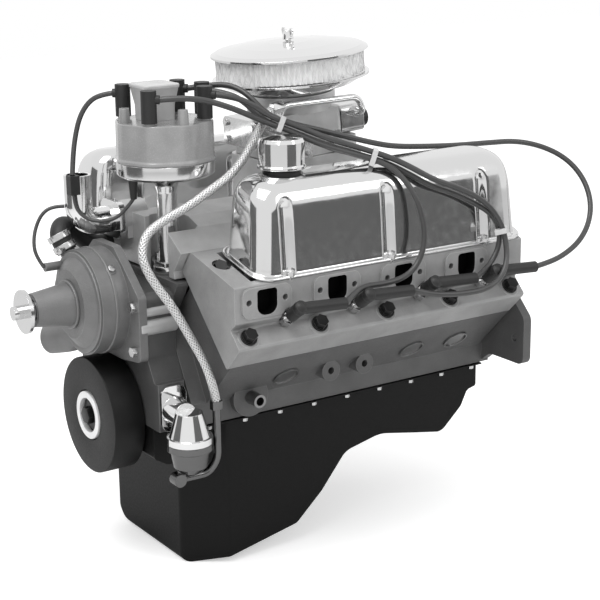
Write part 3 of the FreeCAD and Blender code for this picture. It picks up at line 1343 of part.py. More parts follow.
subparts = {
    "engine_block": engine_block,
    "main_bearing_caps": main_bearing_caps,
    "crankshaft": crankshaft,
    "camshaft": camshaft,
    "timing_chain": timing_chain,
    "pistons": pistons,
    "connecting_rods": connecting_rods,
    "lifters_and_pushrods": lifters_and_pushrods,
    "cylinder_head_driver": cylinder_head,
    "cylinder_head_passenger": lambda: other_bank(cylinder_head()),
    "head_gaskets": head_gaskets,
    "head_bolts": head_bolts,
    "valve_gear": valve_gear,
    "rocker_arms": rocker_arms,
    "valve_cover_driver": valve_cover,
    "valve_cover_passenger": lambda: other_bank(valve_cover()),
    "top_end_bolts": top_end_bolts,
    "oil_filler_cap": oil_filler_cap,
    "cover_grommets": cover_grommets,
    "spark_plugs": spark_plugs,
    "intake_manifold": intake_manifold,
    "carburettor_base": carburettor_base,
    "carburettor_body": carburettor_body,
    "float_bowls": float_bowls,
    "throttle_shaft_primary": lambda: throttle_shaft(-26),
    "throttle_shaft_secondary": lambda: throttle_shaft(26),
    "choke_plate": choke_plate,
    "fuel_inlet_pipe": fuel_inlet_pipe,
    "air_cleaner_base": air_cleaner_base,
    "air_filter_element": air_filter_element,
    "air_cleaner_lid": air_cleaner_lid,
    "air_cleaner_stud": air_cleaner_stud,
    "air_cleaner_nut": air_cleaner_nut,
    "distributor_body": distributor_body,
    "distributor_shaft": distributor_shaft,
    "distributor_cap": distributor_cap,
    "coil_cover": coil_cover,
    "timing_cover": timing_cover,
    "water_pump_body": water_pump_body,
    "water_pump_shaft": water_pump_shaft,
    "thermostat_housing": thermostat_housing,
    "harmonic_damper": harmonic_damper,
    "front_bolts": front_bolts,
    "fuel_pump": fuel_pump,
    "fuel_pump_bowl": fuel_pump_bowl,
    "oil_pan": oil_pan,
    "pan_bolts": pan_bolts,
    "block_plugs": block_plugs,
    "oil_pump": oil_pump,
    "plug_boots": plug_boots,
    "wire_separators": wire_separators,
    "bypass_hose": bypass_hose,
}

os.makedirs("parts", exist_ok=True)
for name, build in subparts.items():
    shape = build()
    print(name, "valid", shape.isValid(), "solids", len(shape.Solids), "volume", round(shape.Volume / 1000, 1))
    shape.exportStep("parts/" + name + ".step")
for name in cord_routes:
    cord(name).exportStep("parts/" + name + ".step")
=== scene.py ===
import math

import bmesh
import bpy
from mathutils import Matrix, Vector


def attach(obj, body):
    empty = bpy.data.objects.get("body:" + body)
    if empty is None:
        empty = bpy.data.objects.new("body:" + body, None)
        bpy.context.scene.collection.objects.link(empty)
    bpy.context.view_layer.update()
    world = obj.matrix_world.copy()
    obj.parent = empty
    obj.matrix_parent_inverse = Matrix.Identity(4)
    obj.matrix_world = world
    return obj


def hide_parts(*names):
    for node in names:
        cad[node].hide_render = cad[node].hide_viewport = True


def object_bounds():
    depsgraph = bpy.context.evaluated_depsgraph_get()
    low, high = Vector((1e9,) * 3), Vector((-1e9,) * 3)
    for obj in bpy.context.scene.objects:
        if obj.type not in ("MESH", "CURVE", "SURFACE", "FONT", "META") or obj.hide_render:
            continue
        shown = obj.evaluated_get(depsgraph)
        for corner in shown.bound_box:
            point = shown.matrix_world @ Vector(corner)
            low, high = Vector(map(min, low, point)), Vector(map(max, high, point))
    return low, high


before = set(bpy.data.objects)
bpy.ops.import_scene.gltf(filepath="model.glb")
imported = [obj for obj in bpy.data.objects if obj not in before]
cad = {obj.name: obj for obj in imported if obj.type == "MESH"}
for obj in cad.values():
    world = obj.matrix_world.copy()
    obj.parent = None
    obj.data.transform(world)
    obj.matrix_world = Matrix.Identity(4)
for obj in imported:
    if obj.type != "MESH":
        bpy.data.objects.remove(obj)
cad_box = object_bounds()


# Studio. White paper lies under and behind the engine. A soft overhead box lights it from the front left
# and a weaker one from the right. Grey boards stand low round the camera, unseen by it: plated covers show
# them as their darker bands.
CAMERA_PLACE = Vector((1.86978, -1.50169, 0.7231))
CAMERA_AZIMUTH = math.radians(56.66)
CAMERA_FALL = math.radians(15.35)
CAMERA_ROLL = math.radians(-0.75)
PAPER_WHITE = "#F4F4F4"
PAPER_LIFT = 0.5
BOARD_GREY = "#6E6E6E"
ROOM_LIGHT = 0.8
BACKDROP_LIGHT = 1.0
LENS_MM = 92.75
SENSOR_MM = 36
FLOOR_REACH = 6
LAMPS_AIM = Vector((0, -0.35, 0.15))
LAMPS = (("overhead_box", (0.5, -1.4, 2.4), 1.6, 38), ("side_box", (2.3, 1.0, 1.6), 1.0, 9))
BOARDS = (("board_right", (2.6, -0.6), (2.2, 1.6), -0.2, 0.75),
          ("board_front", (0.3, -2.6), (-1.4, -2.2), -0.2, 0.9))


def linear(code):
    """Linear colour of an sRGB hex code."""
    channels = [int(code[i:i + 2], 16) / 255 for i in (1, 3, 5)]
    return [c / 12.92 if c <= 0.04045 else ((c + 0.055) / 1.055) ** 2.4 for c in channels] + [1.0]


def add_node(tree, kind, inputs=None, **settings):
    """Adds one node with its settings, values and links."""
    node = tree.nodes.new(kind)
    for name, value in settings.items():
        setattr(node, name, value)
    for socket, value in (inputs or {}).items():
        if isinstance(value, bpy.types.NodeSocket):
            tree.links.new(value, node.inputs[socket])
        else:
            node.inputs[socket].default_value = value
    return node


def new_material(name):
    """An empty node material and its tree."""
    material = bpy.data.materials.new(name)
    material.use_nodes = True
    material.node_tree.nodes.clear()
    return material, material.node_tree


def mesh_piece(name, vertices, faces, material, smooth=True):
    """An object from vertices and faces in metres."""
    mesh = bpy.data.meshes.new(name)
    mesh.from_pydata([tuple(v) for v in vertices], [], faces)
    mesh.validate()
    mesh.materials.append(material)
    for polygon in mesh.polygons:
        polygon.use_smooth = smooth
    piece = bpy.data.objects.new(name, mesh)
    bpy.context.collection.objects.link(piece)
    return piece


def studio_board(name, corners, material):
    """A flat sheet of the studio's, which is no part of the engine."""
    board = mesh_piece(name, corners, [(0, 1, 2, 3)], material, smooth=False)
    return board


paper, tree = new_material("studio_paper")
white = add_node(tree, "ShaderNodeBsdfDiffuse", {"Color": linear(PAPER_WHITE)})
rays = add_node(tree, "ShaderNodeLightPath")
lift = add_node(tree, "ShaderNodeMath", {0: rays.outputs["Is Camera Ray"], 1: PAPER_LIFT},
                operation="MULTIPLY")
glow = add_node(tree, "ShaderNodeEmission", {"Color": linear(PAPER_WHITE), "Strength": lift.outputs[0]})
lit = add_node(tree, "ShaderNodeAddShader", {0: white.outputs[0], 1: glow.outputs[0]})
add_node(tree, "ShaderNodeOutputMaterial", {"Surface": lit.outputs[0]})
floor_z = cad_box[0][2]
studio_board("floor", [(x * FLOOR_REACH, y * FLOOR_REACH, floor_z)
                       for x, y in ((-1, -1), (1, -1), (1, 1), (-1, 1))], paper)

black_board, tree = new_material("studio_black_board")
black = add_node(tree, "ShaderNodeBsdfDiffuse", {"Color": linear(BOARD_GREY)})
add_node(tree, "ShaderNodeOutputMaterial", {"Surface": black.outputs[0]})
for name, near, far, low, high in BOARDS:
    board = studio_board(name, [(*near, low), (*far, low), (*far, high), (*near, high)], black_board)
    board.visible_camera = False
    board.visible_shadow = False
    board.visible_diffuse = False

world = bpy.data.worlds.new("studio")
world.use_nodes = True
world.node_tree.nodes.clear()
tree = world.node_tree
rays = add_node(tree, "ShaderNodeLightPath")
seen = add_node(tree, "ShaderNodeMath", {0: rays.outputs["Is Camera Ray"], 1: rays.outputs["Is Glossy Ray"]},
                operation="MAXIMUM")
seen = add_node(tree, "ShaderNodeMath", {0: seen.outputs[0], 1: rays.outputs["Is Transmission Ray"]},
                operation="MAXIMUM")
room = add_node(tree, "ShaderNodeBackground", {"Color": linear("#FFFFFF"), "Strength": ROOM_LIGHT})
backdrop = add_node(tree, "ShaderNodeBackground", {"Color": linear("#FFFFFF"), "Strength": BACKDROP_LIGHT})
mixed = add_node(tree, "ShaderNodeMixShader", {0: seen.outputs[0], 1: room.outputs[0],
                                               2: backdrop.outputs[0]})
add_node(tree, "ShaderNodeOutputWorld", {"Surface": mixed.outputs[0]})
bpy.context.scene.world = world

for name, place, size, power in LAMPS:
    lamp = bpy.data.lights.new(name, "AREA")
    lamp.size = size
    lamp.energy = power
    holder = bpy.data.objects.new(name, lamp)
    holder.location = place
    holder.rotation_euler = (LAMPS_AIM - Vector(place)).to_track_quat("-Z", "Y").to_euler()
    bpy.context.collection.objects.link(holder)

right = Vector((math.cos(CAMERA_AZIMUTH), math.sin(CAMERA_AZIMUTH), 0))
ahead = Vector((-math.sin(CAMERA_AZIMUTH) * math.cos(CAMERA_FALL),
                math.cos(CAMERA_AZIMUTH) * math.cos(CAMERA_FALL), -math.sin(CAMERA_FALL)))
up = right.cross(ahead)
view_right = right * math.cos(CAMERA_ROLL) + up * math.sin(CAMERA_ROLL)
view_up = up * math.cos(CAMERA_ROLL) - right * math.sin(CAMERA_ROLL)
camera_data = bpy.data.cameras.new("camera")
camera_data.sensor_width = SENSOR_MM
camera_data.lens = LENS_MM
camera = bpy.data.objects.new("camera", camera_data)
facing = Matrix((view_right, view_up, -ahead)).transposed().to_4x4()
camera.matrix_world = Matrix.Translation(CAMERA_PLACE) @ facing
bpy.context.collection.objects.link(camera)
bpy.context.scene.camera = camera
bpy.context.scene.view_settings.view_transform = "Standard"


# Block. Grey cast iron, sand cast and sprayed with dull grey engine enamel over the rough skin; the
# enamel is thin, so the grain of the sand shows through and high edges are rubbed lighter.
PATCH_MM = 28
PATCH_LIGHTER = 1.25
PATCH_DARKER = 0.78
EDGE_SHARE = 0.55


def skin(name, colour, edge_colour, metallic, roughness, grain_mm, relief_mm, coat=0.0, edge_mm=1.2,
         specular=0.5):
    """A cast, painted or moulded skin: mottled tone, grain in relief and edges in their own tone.

    The grain of sand and tools is about 0.1 to 0.5 mm, too fine to show, so grain_mm draws it coarser.
    """
    material, tree = new_material(name)
    place = add_node(tree, "ShaderNodeTexCoord")
    grain = add_node(tree, "ShaderNodeTexNoise", {
        "Vector": place.outputs["Object"], "Scale": 1000 / grain_mm, "Detail": 5.0, "Roughness": 0.6})
    patch = add_node(tree, "ShaderNodeTexNoise", {
        "Vector": place.outputs["Object"], "Scale": 1000 / PATCH_MM, "Detail": 3.0})
    softened = add_node(tree, "ShaderNodeBevel", {"Radius": edge_mm / 1000}, samples=4)
    true = add_node(tree, "ShaderNodeNewGeometry")
    turn = add_node(tree, "ShaderNodeVectorMath", {0: softened.outputs[0], 1: true.outputs["Normal"]},
                    operation="DOT_PRODUCT")
    edge = add_node(tree, "ShaderNodeMapRange", {
        "Value": turn.outputs["Value"], "From Min": 0.999, "From Max": 0.93, "To Min": 0.0,
        "To Max": EDGE_SHARE})
    lighter = [min(1.0, c * PATCH_LIGHTER) for c in linear(colour)[:3]] + [1.0]
    darker = [c * PATCH_DARKER for c in linear(colour)[:3]] + [1.0]
    tone = add_node(tree, "ShaderNodeMixRGB", {
        "Fac": patch.outputs["Fac"], "Color1": darker, "Color2": lighter})
    # Edges take their own tone: rubbed wear on the castings, a painted highlight on the other skins.
    edge_wear_and_highlight = add_node(tree, "ShaderNodeMixRGB", {
        "Fac": edge.outputs[0], "Color1": tone.outputs[0], "Color2": linear(edge_colour)})
    sheen = add_node(tree, "ShaderNodeMapRange", {
        "Value": grain.outputs["Fac"], "From Min": 0.3, "From Max": 0.7,
        "To Min": roughness - 0.06, "To Max": roughness + 0.08})
    relief = add_node(tree, "ShaderNodeBump", {
        "Height": grain.outputs["Fac"], "Distance": relief_mm / 1000, "Normal": softened.outputs[0]})
    surface = add_node(tree, "ShaderNodeBsdfPrincipled", {
        "Base Color": edge_wear_and_highlight.outputs[0], "Metallic": metallic, "Roughness": sheen.outputs[0],
        "Normal": relief.outputs[0], "Coat Weight": coat, "Coat Roughness": 0.15,
        "Specular IOR Level": specular})
    add_node(tree, "ShaderNodeOutputMaterial", {"Surface": surface.outputs[0]})
    return material


def dress(material, *names):
    """Gives the frame's nodes their finish."""
    for name in names:
        for slot in cad[name].material_slots:
            slot.material = material


# Dull, faintly pebbled grey, lighter along the edges.
grey_enamel_on_iron = skin("grey_enamel_on_cast_iron", "#565656", "#8C8C8C", 0.15, 0.5, 2.2, 0.6)
dress(grey_enamel_on_iron, "engine_block", "main_bearing_caps", "oil_pump")


# Running gear. Forged and ground steel: crankshaft, camshaft, rods, lifters and valve gear. Grinding
# leaves it bright, with fine scratches too small to see; they are drawn as a faint coarser grain.
# A soft silver sheen.
ground_steel = skin("ground_forged_steel", "#A8A8A8", "#D0D0D0", 1.0, 0.32, 1.2, 0.05, edge_mm=0.6)
dress(ground_steel, "crankshaft", "camshaft", "connecting_rods", "lifters_and_pushrods", "valve_gear")
# Darker and wet, as steel under oil.
oiled_chain_steel = skin("oiled_chain_steel", "#6A6A6A", "#9A9A9A", 1.0, 0.4, 3.0, 0.3, edge_mm=0.6)
dress(oiled_chain_steel, "timing_chain")
# Pale and even, a little duller than the steel.
machined_alloy = skin("machined_aluminium", "#BDBDBD", "#DADADA", 1.0, 0.36, 1.5, 0.06, edge_mm=0.6)
dress(machined_alloy, "pistons", "rocker_arms")


# Cylinder heads. Sand-cast aluminium sprayed light grey, machined at the ports. Composition gaskets lie
# below them and black oxide bolts hold them down through the lower flange. Each exhaust port has a dark
# lining just inside its mouth, painted shade for the unlit depth of the port: a new engine's ports are clean.
HEADS_MIDDLE = -0.2762
BANK_STAGGER = 0.0222
PORT_FACE = 0.2256
PORT_FLOOR = 0.206
PORT_Z = 0.1890
PORT_HALF_WIDTH = 0.0152
PORT_HALF_HEIGHT = 0.0172
PORT_FOOT_RADIUS = 0.0135
PORT_TOP_RADIUS = 0.004
REAR_PORT_Y = -0.13715
BORE_SPACING = 0.11125

other_bank = Matrix.Translation((0, 2 * HEADS_MIDDLE - BANK_STAGGER, 0)) @ Matrix.Rotation(math.pi, 4, "Z")
# A lighter matt grey than the block's, with bright edges.
head_enamel = skin("light_grey_enamel_on_aluminium", "#949494", "#CFCFCF", 0.2, 0.42, 2.4, 0.45)
dress(head_enamel, "cylinder_head_driver", "cylinder_head_passenger")
# Painted shade: black without a highlight.
painted_port_shade = skin("painted_shade_in_exhaust_port", "#050505", "#0A0A0A", 0.0, 0.8, 1.5, 0.2, edge_mm=0.4, specular=0.1)
mouth = []
for y, z, radius, start in ((PORT_HALF_WIDTH, -PORT_HALF_HEIGHT, PORT_FOOT_RADIUS, 270),
                            (PORT_HALF_WIDTH, PORT_HALF_HEIGHT, PORT_TOP_RADIUS, 0),
                            (-PORT_HALF_WIDTH, PORT_HALF_HEIGHT, PORT_TOP_RADIUS, 90),
                            (-PORT_HALF_WIDTH, -PORT_HALF_HEIGHT, PORT_FOOT_RADIUS, 180)):
    middle = (y - math.copysign(radius, y), z - math.copysign(radius, z))
    for k in range(7):
        a = math.radians(start + 15 * k)
        mouth.append((middle[0] + radius * math.cos(a), middle[1] + radius * math.sin(a)))
count = len(mouth)
vertices, faces = [], []
for bank in (Matrix.Identity(4), other_bank):
    for i in range(4):
        first = len(vertices)
        for x in (PORT_FACE, PORT_FLOOR):
            vertices += [bank @ Vector((x, REAR_PORT_Y - BORE_SPACING * i + y, PORT_Z + z)) for y, z in mouth]
        faces += [(first + j, first + (j + 1) % count, first + count + (j + 1) % count, first + count + j)
                  for j in range(count)]
        faces.append(tuple(range(first + count, first + 2 * count)))
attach(mesh_piece("painted_shade_port_lining", vertices, faces, painted_port_shade, smooth=False), "engine")
# A thin dark seam under each head.
gasket_sheet = skin("composition_gasket", "#2E2E2E", "#4A4A4A", 0.0, 0.8, 1.0, 0.1, edge_mm=0.3)
dress(gasket_sheet, "head_gaskets")
# Nearly black, with soft highlights on the edges.
black_oxide = skin("black_oxide_steel", "#1B1B1B", "#5A5A5A", 0.6, 0.34, 1.2, 0.08, edge_mm=1.0)
dress(black_oxide, "head_bolts")


# Valve covers. Sheet steel drawn in one press: tall walls with wide soft edges, three grooves down each
# side that leave room for the bolts, and a rail with a rolled bead. Polished, then chromium plated, so
# each cover is a clear mirror whose slow waves come from the press.
HAZE_MM = 12


def plated(name, colour, roughness, wave_mm, wave_depth_mm, edge_mm=1.0):
    """Bright plate on pressed or polished metal."""
    material, tree = new_material(name)
    place = add_node(tree, "ShaderNodeTexCoord")
    wave = add_node(tree, "ShaderNodeTexNoise", {
        "Vector": place.outputs["Object"], "Scale": 1000 / wave_mm, "Detail": 1.0})
    haze = add_node(tree, "ShaderNodeTexNoise", {
        "Vector": place.outputs["Object"], "Scale": 1000 / HAZE_MM, "Detail": 4.0})
    cloud = add_node(tree, "ShaderNodeMapRange", {
        "Value": haze.outputs["Fac"], "From Min": 0.35, "From Max": 0.75,
        "To Min": roughness, "To Max": roughness + 0.07})
    softened = add_node(tree, "ShaderNodeBevel", {"Radius": edge_mm / 1000}, samples=4)
    relief = add_node(tree, "ShaderNodeBump", {
        "Height": wave.outputs["Fac"], "Distance": wave_depth_mm / 1000, "Normal": softened.outputs[0]})
    plate = add_node(tree, "ShaderNodeBsdfPrincipled", {
        "Base Color": linear(colour), "Metallic": 1.0, "Roughness": cloud.outputs[0],
        "Normal": relief.outputs[0]})
    add_node(tree, "ShaderNodeOutputMaterial", {"Surface": plate.outputs[0]})
    return material


COVER_FRONT = -0.4772
COVER_REAR = -0.0312
COVER_OUTER = 0.218
COVER_INNER = 0.122
COVER_TOP = 0.3385
RAIL_OUTER = Vector((0.223, 0.213))
RAIL_INNER = Vector((0.112, 0.240))
RAIL_REACH = 0.0065
WALL_FOOT = 0.009
SHOULDER_OUTER = 0.279
SHOULDER_INNER = 0.300
SHEET_THICKNESS = 0.0012
CORNER_RADIUS = 0.027
GROOVE_YS = (-0.4312, -0.2662, -0.1012)
GROOVE_HALF_WIDTH = 0.0125
GROOVE_DEPTH = 0.0095
GROOVE_TOP = 0.306
SIDE_POINTS = 210
CORNER_POINTS = 12


def bezier(a, b, c, d, t):
    """Point of one cubic curve."""
    return a * (1 - t) ** 3 + b * 3 * t * (1 - t) ** 2 + c * 3 * t * t * (1 - t) + d * t ** 3


def rail_height(x):
    """Height of the sloping gasket rail under the cover's wall."""
    share = (RAIL_OUTER.x - x) / (RAIL_OUTER.x - RAIL_INNER.x)
    return RAIL_OUTER.y + share * (RAIL_INNER.y - RAIL_OUTER.y)


def cover_levels():
    """Levels from the rail's edge to the crown: inset and height of the outer wall, then of the inner."""
    levels = []
    for inset, lift in ((-RAIL_REACH, 0.0012), (-RAIL_REACH, 0.0030), (-RAIL_REACH + 0.0007, 0.0041),
                        (-RAIL_REACH + 0.002, 0.0045), (-RAIL_REACH + 0.0034, 0.0040), (-0.0016, 0.0036),
                        (-0.0006, 0.0042), (0.0, 0.0056), (0.0002, WALL_FOOT)):
        levels.append((inset, rail_height(COVER_OUTER - inset) + lift,
                       inset, rail_height(COVER_INNER + inset) + lift))
    low_out, low_in = rail_height(COVER_OUTER) + WALL_FOOT, rail_height(COVER_INNER) + WALL_FOOT
    for k in range(1, 9):
        t = k / 8
        levels.append((0.0002 + 0.0042 * t, low_out + (SHOULDER_OUTER - low_out) * t,
                       0.0002 + 0.0022 * t, low_in + (SHOULDER_INNER - low_in) * t))
    for k in range(1, 15):
        t = k / 14
        levels.append((bezier(0.0044, 0.0068, 0.0125, 0.0400, t),
                       bezier(SHOULDER_OUTER, 0.316, COVER_TOP - 0.001, COVER_TOP + 0.001, t),
                       bezier(0.0024, 0.0040, 0.0080, 0.0260, t),
                       bezier(SHOULDER_INNER, 0.329, COVER_TOP + 0.004, COVER_TOP + 0.0042, t)))
    return levels


def groove_depth(y, z):
    """How deep a bolt groove is at this place of a side wall; its top end is round."""
    deepest = 0.0
    for middle in GROOVE_YS:
        away = math.hypot((y - middle) / GROOVE_HALF_WIDTH, max(0.0, z - GROOVE_TOP) / GROOVE_HALF_WIDTH)
        if away < 1:
            depth = GROOVE_DEPTH * (math.cos(math.pi * away) + 1) / 2 * min(1.0, 1.6 - 0.6 * away)
            deepest = max(deepest, depth)
    return deepest


def cover_loop(level):
    """One closed loop of the cover, round its walls from the outer front corner."""
    out_inset, out_z, in_inset, in_z = level
    x_out, x_in = COVER_OUTER - out_inset, COVER_INNER + in_inset
    y_front, y_rear = COVER_FRONT + out_inset, COVER_REAR - out_inset
    radius = min(CORNER_RADIUS, (x_out - x_in) / 2 - 0.001)
    points = []
    for k in range(SIDE_POINTS + 1):
        y = y_front + radius + (y_rear - y_front - 2 * radius) * k / SIDE_POINTS
        points.append((x_out - (groove_depth(y, out_z) if out_inset > -0.0007 else 0.0), y))
    for centre, start in (((x_out - radius, y_rear - radius), 0), ((x_in + radius, y_rear - radius), 90)):
        for k in range(1, CORNER_POINTS):
            a = math.radians(start + 90 * k / CORNER_POINTS)
            points.append((centre[0] + radius * math.cos(a), centre[1] + radius * math.sin(a)))
        if start == 0:
            points.append((x_out - radius, y_rear))
            points.append((x_in + radius, y_rear))
    for k in range(SIDE_POINTS + 1):
        y = y_rear - radius - (y_rear - y_front - 2 * radius) * k / SIDE_POINTS
        points.append((x_in + (groove_depth(y, in_z) if in_inset > -0.0007 else 0.0), y))
    for centre, start in (((x_in + radius, y_front + radius), 180),
                          ((x_out - radius, y_front + radius), 270)):
        for k in range(1, CORNER_POINTS):
            a = math.radians(start + 90 * k / CORNER_POINTS)
            points.append((centre[0] + radius * math.cos(a), centre[1] + radius * math.sin(a)))
        if start == 180:
            points.append((x_in + radius, y_front))
            points.append((x_out - radius, y_front))
    span = max(x_out - x_in, 1e-6)
    return [Vector((x, y, out_z + (in_z - out_z) * (x_out - x) / span)) for x, y in points]


loops = [cover_loop(level) for level in cover_levels()]
around = len(loops[0])
vertices = [point for loop in loops for point in loop]
faces = []
for i in range(len(loops) - 1):
    for j in range(around):
        a, b = i * around + j, i * around + (j + 1) % around
        faces.append((a, b, b + around, a + around))
base = (len(loops) - 1) * around
arc = around // 2 - SIDE_POINTS - 1
for k in range(SIDE_POINTS):
    other = base + around // 2 + SIDE_POINTS - k
    faces.append((base + k, base + k + 1, other - 1, other))
for start in (SIDE_POINTS, around // 2 + SIDE_POINTS):
    ring = [base + (start + k) % around for k in range(arc + 2)]
    faces.append(tuple(ring))
# A mirror whose bands bend slowly along the walls.
pressed_chrome = plated("chromium_on_pressed_steel", "#DADADA", 0.07, 60, 0.5, edge_mm=0.4)
for name, turned in (("driver", False), ("passenger", True)):
    places = [other_bank @ v for v in vertices] if turned else vertices
    cover = mesh_piece("valve_cover_shell_" + name, places, faces, pressed_chrome)
    thickness = cover.modifiers.new("sheet", "SOLIDIFY")
    thickness.thickness = SHEET_THICKNESS
    thickness.offset = -1
    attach(cover, "engine")
    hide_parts("valve_cover_" + name)

# Bright small bolts, duller than the chrome.
zinc_plate = plated("bright_zinc_on_steel", "#C4C4C4", 0.22, 6, 0.1, edge_mm=0.7)
dress(zinc_plate, "top_end_bolts", "front_bolts", "pan_bolts")
# The clearest mirror, almost without waves.
polished_chrome = plated("chromium_on_turned_steel", "#E2E2E2", 0.05, 40, 0.15)
dress(polished_chrome, "oil_filler_cap")
# Black with a dull sheen.
black_rubber = skin("moulded_black_rubber", "#1C1C1C", "#2C2C2C", 0.0, 0.5, 1.6, 0.1, edge_mm=1.2)
dress(black_rubber, "cover_grommets")


# Spark plugs. White glazed ceramic above a nickel plated steel shell. On the driver's side the boots hide
# the ceramic. The whole plug wears the shell's nickel, also its bare ceramic on the passenger's side.
# Bright hexagons with a soft sheen.
nickel_plate = plated("nickel_on_turned_steel", "#C9C9C9", 0.18, 8, 0.1, edge_mm=0.6)
dress(nickel_plate, "spark_plugs")


# Intake manifold and carburettor. The manifold is sand-cast aluminium left bright, blasted to an even
# satin. Its front is open round the distributor, so that the shank shows before the casting's wall. The
# carburettor is zinc die castings tumbled smooth, with polished float bowls.
POCKET_CORNERS = [(0.007, -0.560), (0.072, -0.560), (0.072, -0.488), (0.066, -0.481), (0.013, -0.481),
                  (0.007, -0.488)]
POCKET_FOOT = 0.190
POCKET_ROOF = 0.330

# Pale satin grey with a fine grain.
blasted_alloy = skin("blasted_cast_aluminium", "#C2C2C2", "#E4E4E4", 0.5, 0.4, 2.2, 0.4)
corners = [(x, y, z) for z in (POCKET_FOOT, POCKET_ROOF) for x, y in POCKET_CORNERS]
count = len(POCKET_CORNERS)
faces = [tuple(range(count))[::-1], tuple(range(count, 2 * count))]
faces += [(i, (i + 1) % count, (i + 1) % count + count, i + count) for i in range(count)]
pocket = mesh_piece("pocket", corners, faces, blasted_alloy, smooth=False)
casting = bpy.data.objects.new("intake_casting", cad["intake_manifold"].data.copy())
bpy.context.collection.objects.link(casting)
cut = casting.modifiers.new("pocket", "BOOLEAN")
cut.operation = "DIFFERENCE"
cut.solver = "EXACT"
cut.object = pocket
bpy.context.view_layer.update()
opened = bpy.data.meshes.new_from_object(casting.evaluated_get(bpy.context.evaluated_depsgraph_get()))
casting.modifiers.clear()
casting.data = opened
casting.data.materials.clear()
casting.data.materials.append(blasted_alloy)
bpy.data.objects.remove(pocket)
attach(casting, "engine")
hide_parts("intake_manifold")
# A light metal grey with brighter edges.
die_cast_zinc = skin("tumbled_zinc_die_casting", "#C6C6C6", "#EAEAEA", 0.55, 0.36, 1.8, 0.15, edge_mm=0.9)
dress(die_cast_zinc, "carburettor_base", "carburettor_body")
# Silver, softer than chrome.
polished_alloy = plated("polished_aluminium", "#D0D0D0", 0.14, 20, 0.2)
dress(polished_alloy, "float_bowls")
dress(zinc_plate, "throttle_shaft_primary", "throttle_shaft_secondary", "choke_plate")
dress(polished_chrome, "fuel_inlet_pipe")


# Air cleaner. Chromium plated dish, lid and wing nut of spun steel. Between them stands the element:
# white cotton gauze folded in pleats, held by a screen of steep crossing wires. Real wires are about
# 0.3 mm thick and too fine to show, so fewer and thicker ones are drawn.
CARBURETTOR_SEAT = Vector((0, -0.275, 0.338))
CARBURETTOR_PITCH = math.radians(4)
ELEMENT_RADIUS = 0.1075
ELEMENT_HEIGHT = 0.034
ELEMENT_FOOT = 0.1103
PLEATS = 84
PLEAT_DEPTH = 0.0045
SCREEN_WIRES = 60
SCREEN_WIRE_WIDTH = 0.0011
SCREEN_WIRE_DEPTH = 0.0006
SCREEN_TURN = math.radians(9)
SCREEN_STEPS = 6
GAUZE_INSET = 0.0008
GAUZE_THICKNESS = 0.0024
NUT_FOOT = 160.6
NUT_OUTLINE = [(3.3, NUT_FOOT), (8.5, NUT_FOOT), (6.5, NUT_FOOT + 9), (5, NUT_FOOT + 13),
               (3.3, NUT_FOOT + 13)]
WING_OUTLINE = [(-4, 1.5), (-12, 6), (-14, 12.5), (-12, 15.8), (-8.5, 15.8), (-6, 11.5), (-4.5, 9), (-3.3, 8),
                (3.3, 8), (4.5, 9), (6, 11.5), (8.5, 15.8), (12, 15.8), (14, 12.5), (12, 6), (4, 1.5)]
WING_HALF_THICKNESS = 0.0011

carried = Matrix.Translation(CARBURETTOR_SEAT) @ Matrix.Rotation(CARBURETTOR_PITCH, 4, "X")
dress(polished_chrome, "air_cleaner_base", "air_cleaner_lid", "air_cleaner_stud")


def eased(outline, radius_mm):
    """The closed outline with its corners rounded; points on the axis stay."""
    soft = []
    for before, corner, after in zip(outline[-1:] + outline[:-1], outline, outline[1:] + outline[:1]):
        before, corner, after = Vector(before), Vector(corner), Vector(after)
        if abs(corner.x) < 1e-6:
            soft.append(corner)
            continue
        reach = min(radius_mm, 0.45 * (before - corner).length, 0.45 * (after - corner).length)
        first = corner + (before - corner).normalized() * reach
        last = corner + (after - corner).normalized() * reach
        soft += [first * (1 - t) ** 2 + corner * 2 * t * (1 - t) + last * t * t for t in (0, 0.33, 0.67, 1)]
    return soft


def clean_piece(name, vertices, faces, material, body, crease=32):
    """A riding piece with doubled points merged and shaded sharp over its edges."""
    piece = mesh_piece(name, vertices, faces, material)
    shape = bmesh.new()
    shape.from_mesh(piece.data)
    bmesh.ops.remove_doubles(shape, verts=shape.verts, dist=1e-6)
    bmesh.ops.recalc_face_normals(shape, faces=shape.faces)
    shape.to_mesh(piece.data)
    shape.free()
    piece.data.set_sharp_from_angle(angle=math.radians(crease))
    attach(piece, body)
    return piece


def lathe(name, outline, material, place=(0, 0, 0), axis=(0, 0, 1), soft_mm=0.6, body="engine", segments=96,
          lobes=0, lobe_mm=0.0, lobe_from=60.0, carry=None):
    """A turned piece from its closed outline of (radius, distance along the axis), all in millimetres."""
    outline = eased(outline, soft_mm)
    turn = Vector((0, 0, 1)).rotation_difference(Vector(axis).normalized()).to_matrix()
    count = len(outline)
    vertices, faces = [], []
    for i in range(segments):
        a = 2 * math.pi * i / segments
        for radius, along in outline:
            r = radius + (lobe_mm * math.cos(lobes * a) if radius > lobe_from else 0.0)
            point = (Vector(place) + turn @ Vector((r * math.cos(a), r * math.sin(a), along))) / 1000
            vertices.append(carry @ point if carry else point)
        for k in range(count):
            step = count * ((i + 1) % segments)
            faces.append((i * count + k, step + k, step + (k + 1) % count, i * count + (k + 1) % count))
    return clean_piece(name, vertices, faces, material, body)


nut_body = lathe("wing_nut_boss", NUT_OUTLINE, polished_chrome, soft_mm=1.5, body="cleaner_nut",
                 carry=carried)
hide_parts("air_cleaner_nut")
count = len(WING_OUTLINE)
wing_points = [carried @ Vector((x / 1000, thick, (NUT_FOOT + z) / 1000))
               for thick in (-WING_HALF_THICKNESS, WING_HALF_THICKNESS) for x, z in WING_OUTLINE]
wing_faces = [tuple(range(count)), tuple(range(2 * count - 1, count - 1, -1))]
wing_faces += [(i, i + count, (i + 1) % count + count, (i + 1) % count) for i in range(count)]
clean_piece("wing_nut_wings", wing_points, wing_faces, polished_chrome, "cleaner_nut", crease=50)

